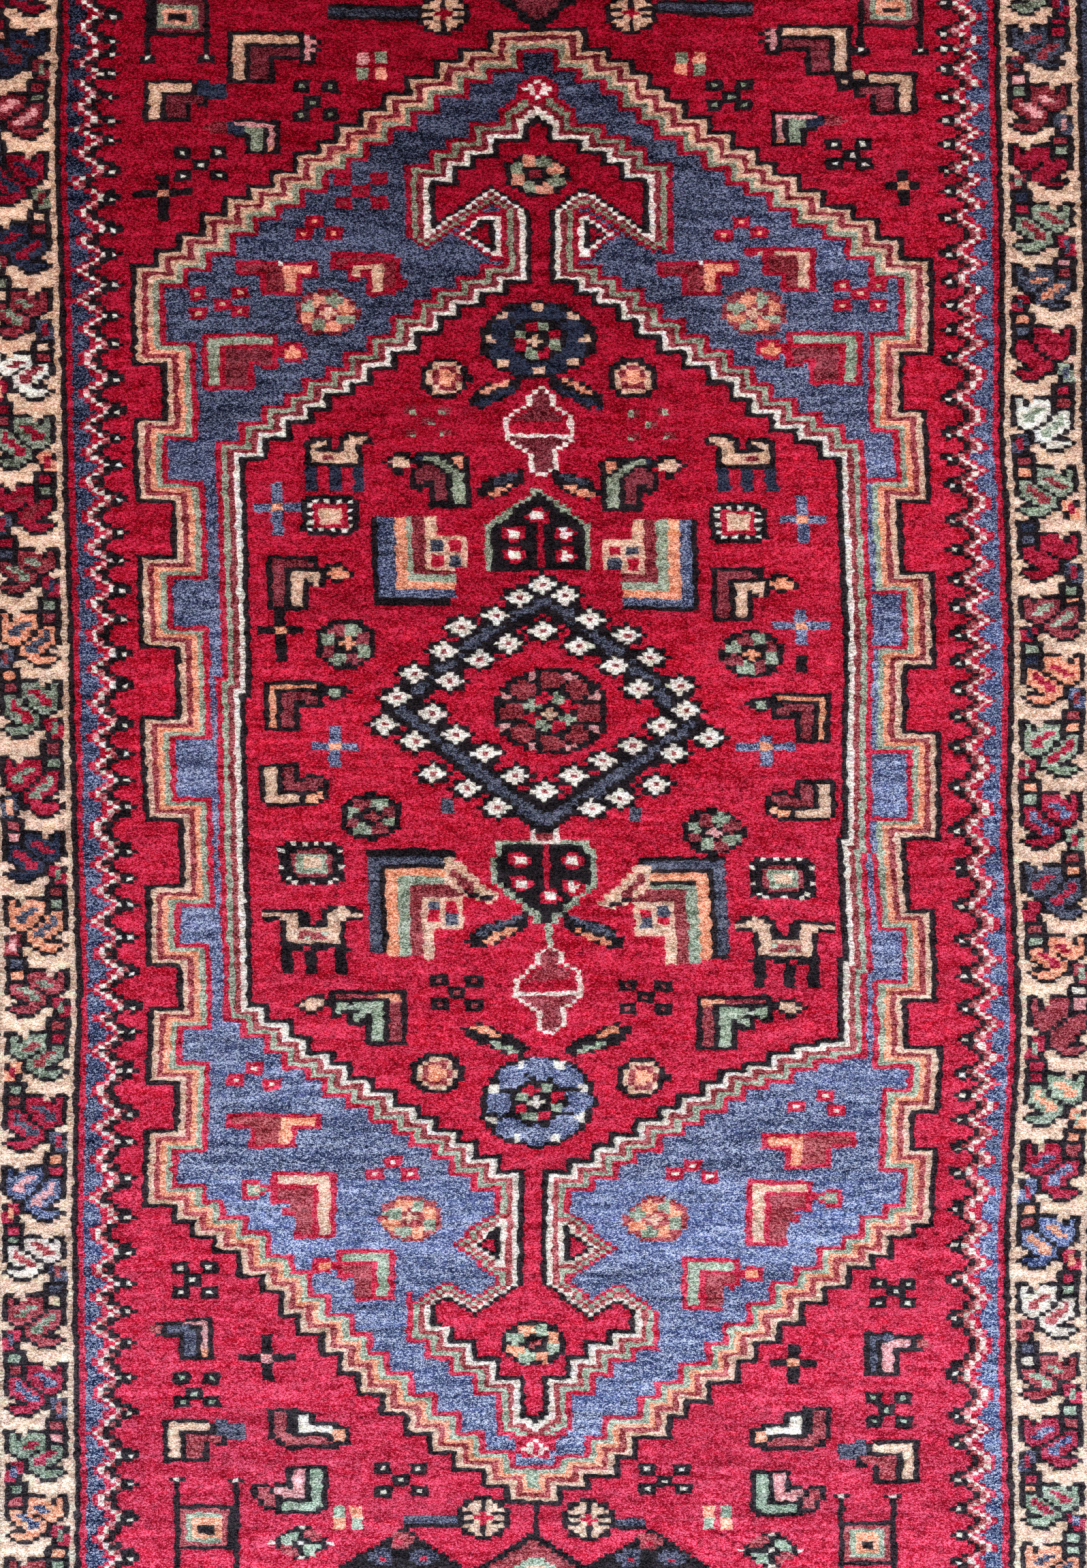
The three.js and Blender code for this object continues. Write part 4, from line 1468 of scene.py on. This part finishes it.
def twisted_group():
    # Each line becomes two yarns turning about it.
    group, given, finish = node_group("twisted_fringe", [
        ("Ply radius", "NodeSocketFloat", 0.00085), ("Turns", "NodeSocketFloat", 850.0),
        ("Yarn radius", "NodeSocketFloat", 0.00095), ("Steps", "NodeSocketInt", 26)])

    def maths(kind, settings):
        return add_node(group, "ShaderNodeMath", settings, kind)

    def vectors(kind, settings):
        return add_node(group, "ShaderNodeVectorMath", settings, kind)

    curve = add_node(group, "GeometryNodeMeshToCurve", {"Mesh": given["Geometry"]})
    even = add_node(group, "GeometryNodeResampleCurve", {"Curve": curve, "Count": given["Steps"]})
    along = group.nodes.new("GeometryNodeSplineParameter").outputs["Length"]
    spin = maths("MULTIPLY", {0: along, 1: given["Turns"]})
    tangent = add_node(group, "GeometryNodeInputTangent", {})
    sideways = vectors("CROSS_PRODUCT", {0: tangent, 1: (0, 0, 1)})
    join = group.nodes.new("GeometryNodeJoinGeometry")
    for ply in range(2):
        angle = maths("ADD", {0: spin, 1: math.pi * ply})
        offset = []
        for kind, axis in (("COSINE", sideways), ("SINE", (0, 0, 1))):
            reach = maths("MULTIPLY", {0: maths(kind, {0: angle}), 1: given["Ply radius"]})
            offset.append(vectors("SCALE", {0: axis, "Scale": reach}))
        shift = vectors("ADD", {0: offset[0], 1: offset[1]})
        feed(group, join, {"Geometry": add_node(group, "GeometryNodeSetPosition",
                                                {"Geometry": even, "Offset": shift})})
    yarn = add_node(group, "GeometryNodeCurvePrimitiveCircle",
                    {"Resolution": 6, "Radius": given["Yarn radius"]})
    tube = add_node(group, "GeometryNodeCurveToMesh",
                    {"Curve": join.outputs[0], "Profile Curve": yarn, "Fill Caps": True})
    return end_group(group, given, finish, tube)


twisted = twisted_group()
warp_wool = wool_material("warp_yarn", (0.62, 0.50, 0.36), 0.8, 0.0004)
STRANDS = 72
STRAND_LONG = 0.044
SWAY = 0.0026
for outward, name in ((1, "top"), (-1, "bottom")):
    inner_y = outward * (CLOTH_LONG + 0.0003)
    outer_y = inner_y + outward * 0.003
    left, right = float(left_edge(inner_y)), float(right_edge(inner_y))
    pitch = (right - left) / STRANDS
    runs = []
    for n in range(STRANDS):
        root = left + (n + 0.5) * pitch
        length = STRAND_LONG + 0.005 * math.sin(n * 2.3 + outward)
        sway = SWAY * math.sin(n * 0.61 + outward * 1.3)
        curl = SWAY * 0.35 * math.sin(n * 1.7 + 0.5)
        runs.append([(root + sway * t * t + curl * math.sin(t * math.pi),
                      outer_y + outward * (t * length - 0.0015), 0.0019 - 0.0001 * t)
                     for t in np.linspace(0, 1, 9)])
    strands = line_mesh("strands_" + name, runs)
    apply_nodes(strands, twisted, {"Material": warp_wool})
    # Two twined rows of weft lock the end.
    steps = 6 * STRANDS
    t = np.arange(steps + 1) / steps
    rows = []
    for row in range(2):
        for ply in range(2):
            phase = t * STRANDS * math.pi + ply * math.pi
            x = left + (right - left) * t
            y = inner_y + outward * (0.0009 + 0.0012 * row) + 0.00035 * np.cos(phase + row)
            z = 0.0012 + 0.0004 * np.sin(phase + row)
            rows.append(np.stack([x, y, z], -1).tolist())
    lock = line_mesh("twined_" + name, rows)
    apply_nodes(lock, twisted, {"Material": warp_wool, "Ply radius": 0.0002, "Turns": 600.0,
                                "Yarn radius": 0.00055, "Steps": steps})
    for piece in (strands, lock):
        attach(piece, "root")
    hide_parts("fringe_" + name)

# Pale studio floor, soft light and the camera straight above, as in the photo.
floor_mesh = bpy.data.meshes.new("floor")
floor_mesh.from_pydata([(-6, -6, -0.0004), (6, -6, -0.0004), (6, 6, -0.0004), (-6, 6, -0.0004)], [],
                       [(0, 1, 2, 3)])
floor = add_piece("floor", floor_mesh)
floor_paint = bpy.data.materials.new("floor_paint")
floor_paint.use_nodes = True
floor_tree = floor_paint.node_tree
feed(floor_tree, floor_tree.nodes["Principled BSDF"],
     {"Base Color": (0.72, 0.70, 0.67, 1), "Roughness": 0.8})
floor_mesh.materials.append(floor_paint)

world = bpy.data.worlds.new("studio")
bpy.context.scene.world = world
world.use_nodes = True
feed(world.node_tree, world.node_tree.nodes["Background"],
     {"Color": (0.94, 0.96, 1.0, 1), "Strength": 0.85})


def soft_light(name, place, turn, size, power, colour):
    data = bpy.data.lights.new(name, "AREA")
    data.shape = "RECTANGLE"
    data.size, data.size_y = size
    data.energy = power
    data.color = colour
    lamp = add_piece(name, data)
    lamp.location = place
    lamp.rotation_euler = turn


soft_light("window", (1.1, -2.0, 1.7), (math.radians(48), 0, math.radians(30)), (2.2, 1.4), 46,
           (1.0, 0.98, 0.95))
soft_light("fill", (-1.6, 1.8, 2.2), (math.radians(-45), 0, math.radians(40)), (2.4, 1.8), 18,
           (0.95, 0.97, 1.0))

bpy.context.scene.view_settings.view_transform = "Standard"
PHOTO_HEIGHT = 0.957
DISTANCE = 2.2
eye = bpy.data.cameras.new("camera")
eye.sensor_fit = "VERTICAL"
eye.sensor_height = 24
eye.lens = 24 * DISTANCE / PHOTO_HEIGHT
camera = add_piece("camera", eye)
camera.location = (0.0033, -0.0104, DISTANCE + THICK)
bpy.context.scene.camera = camera
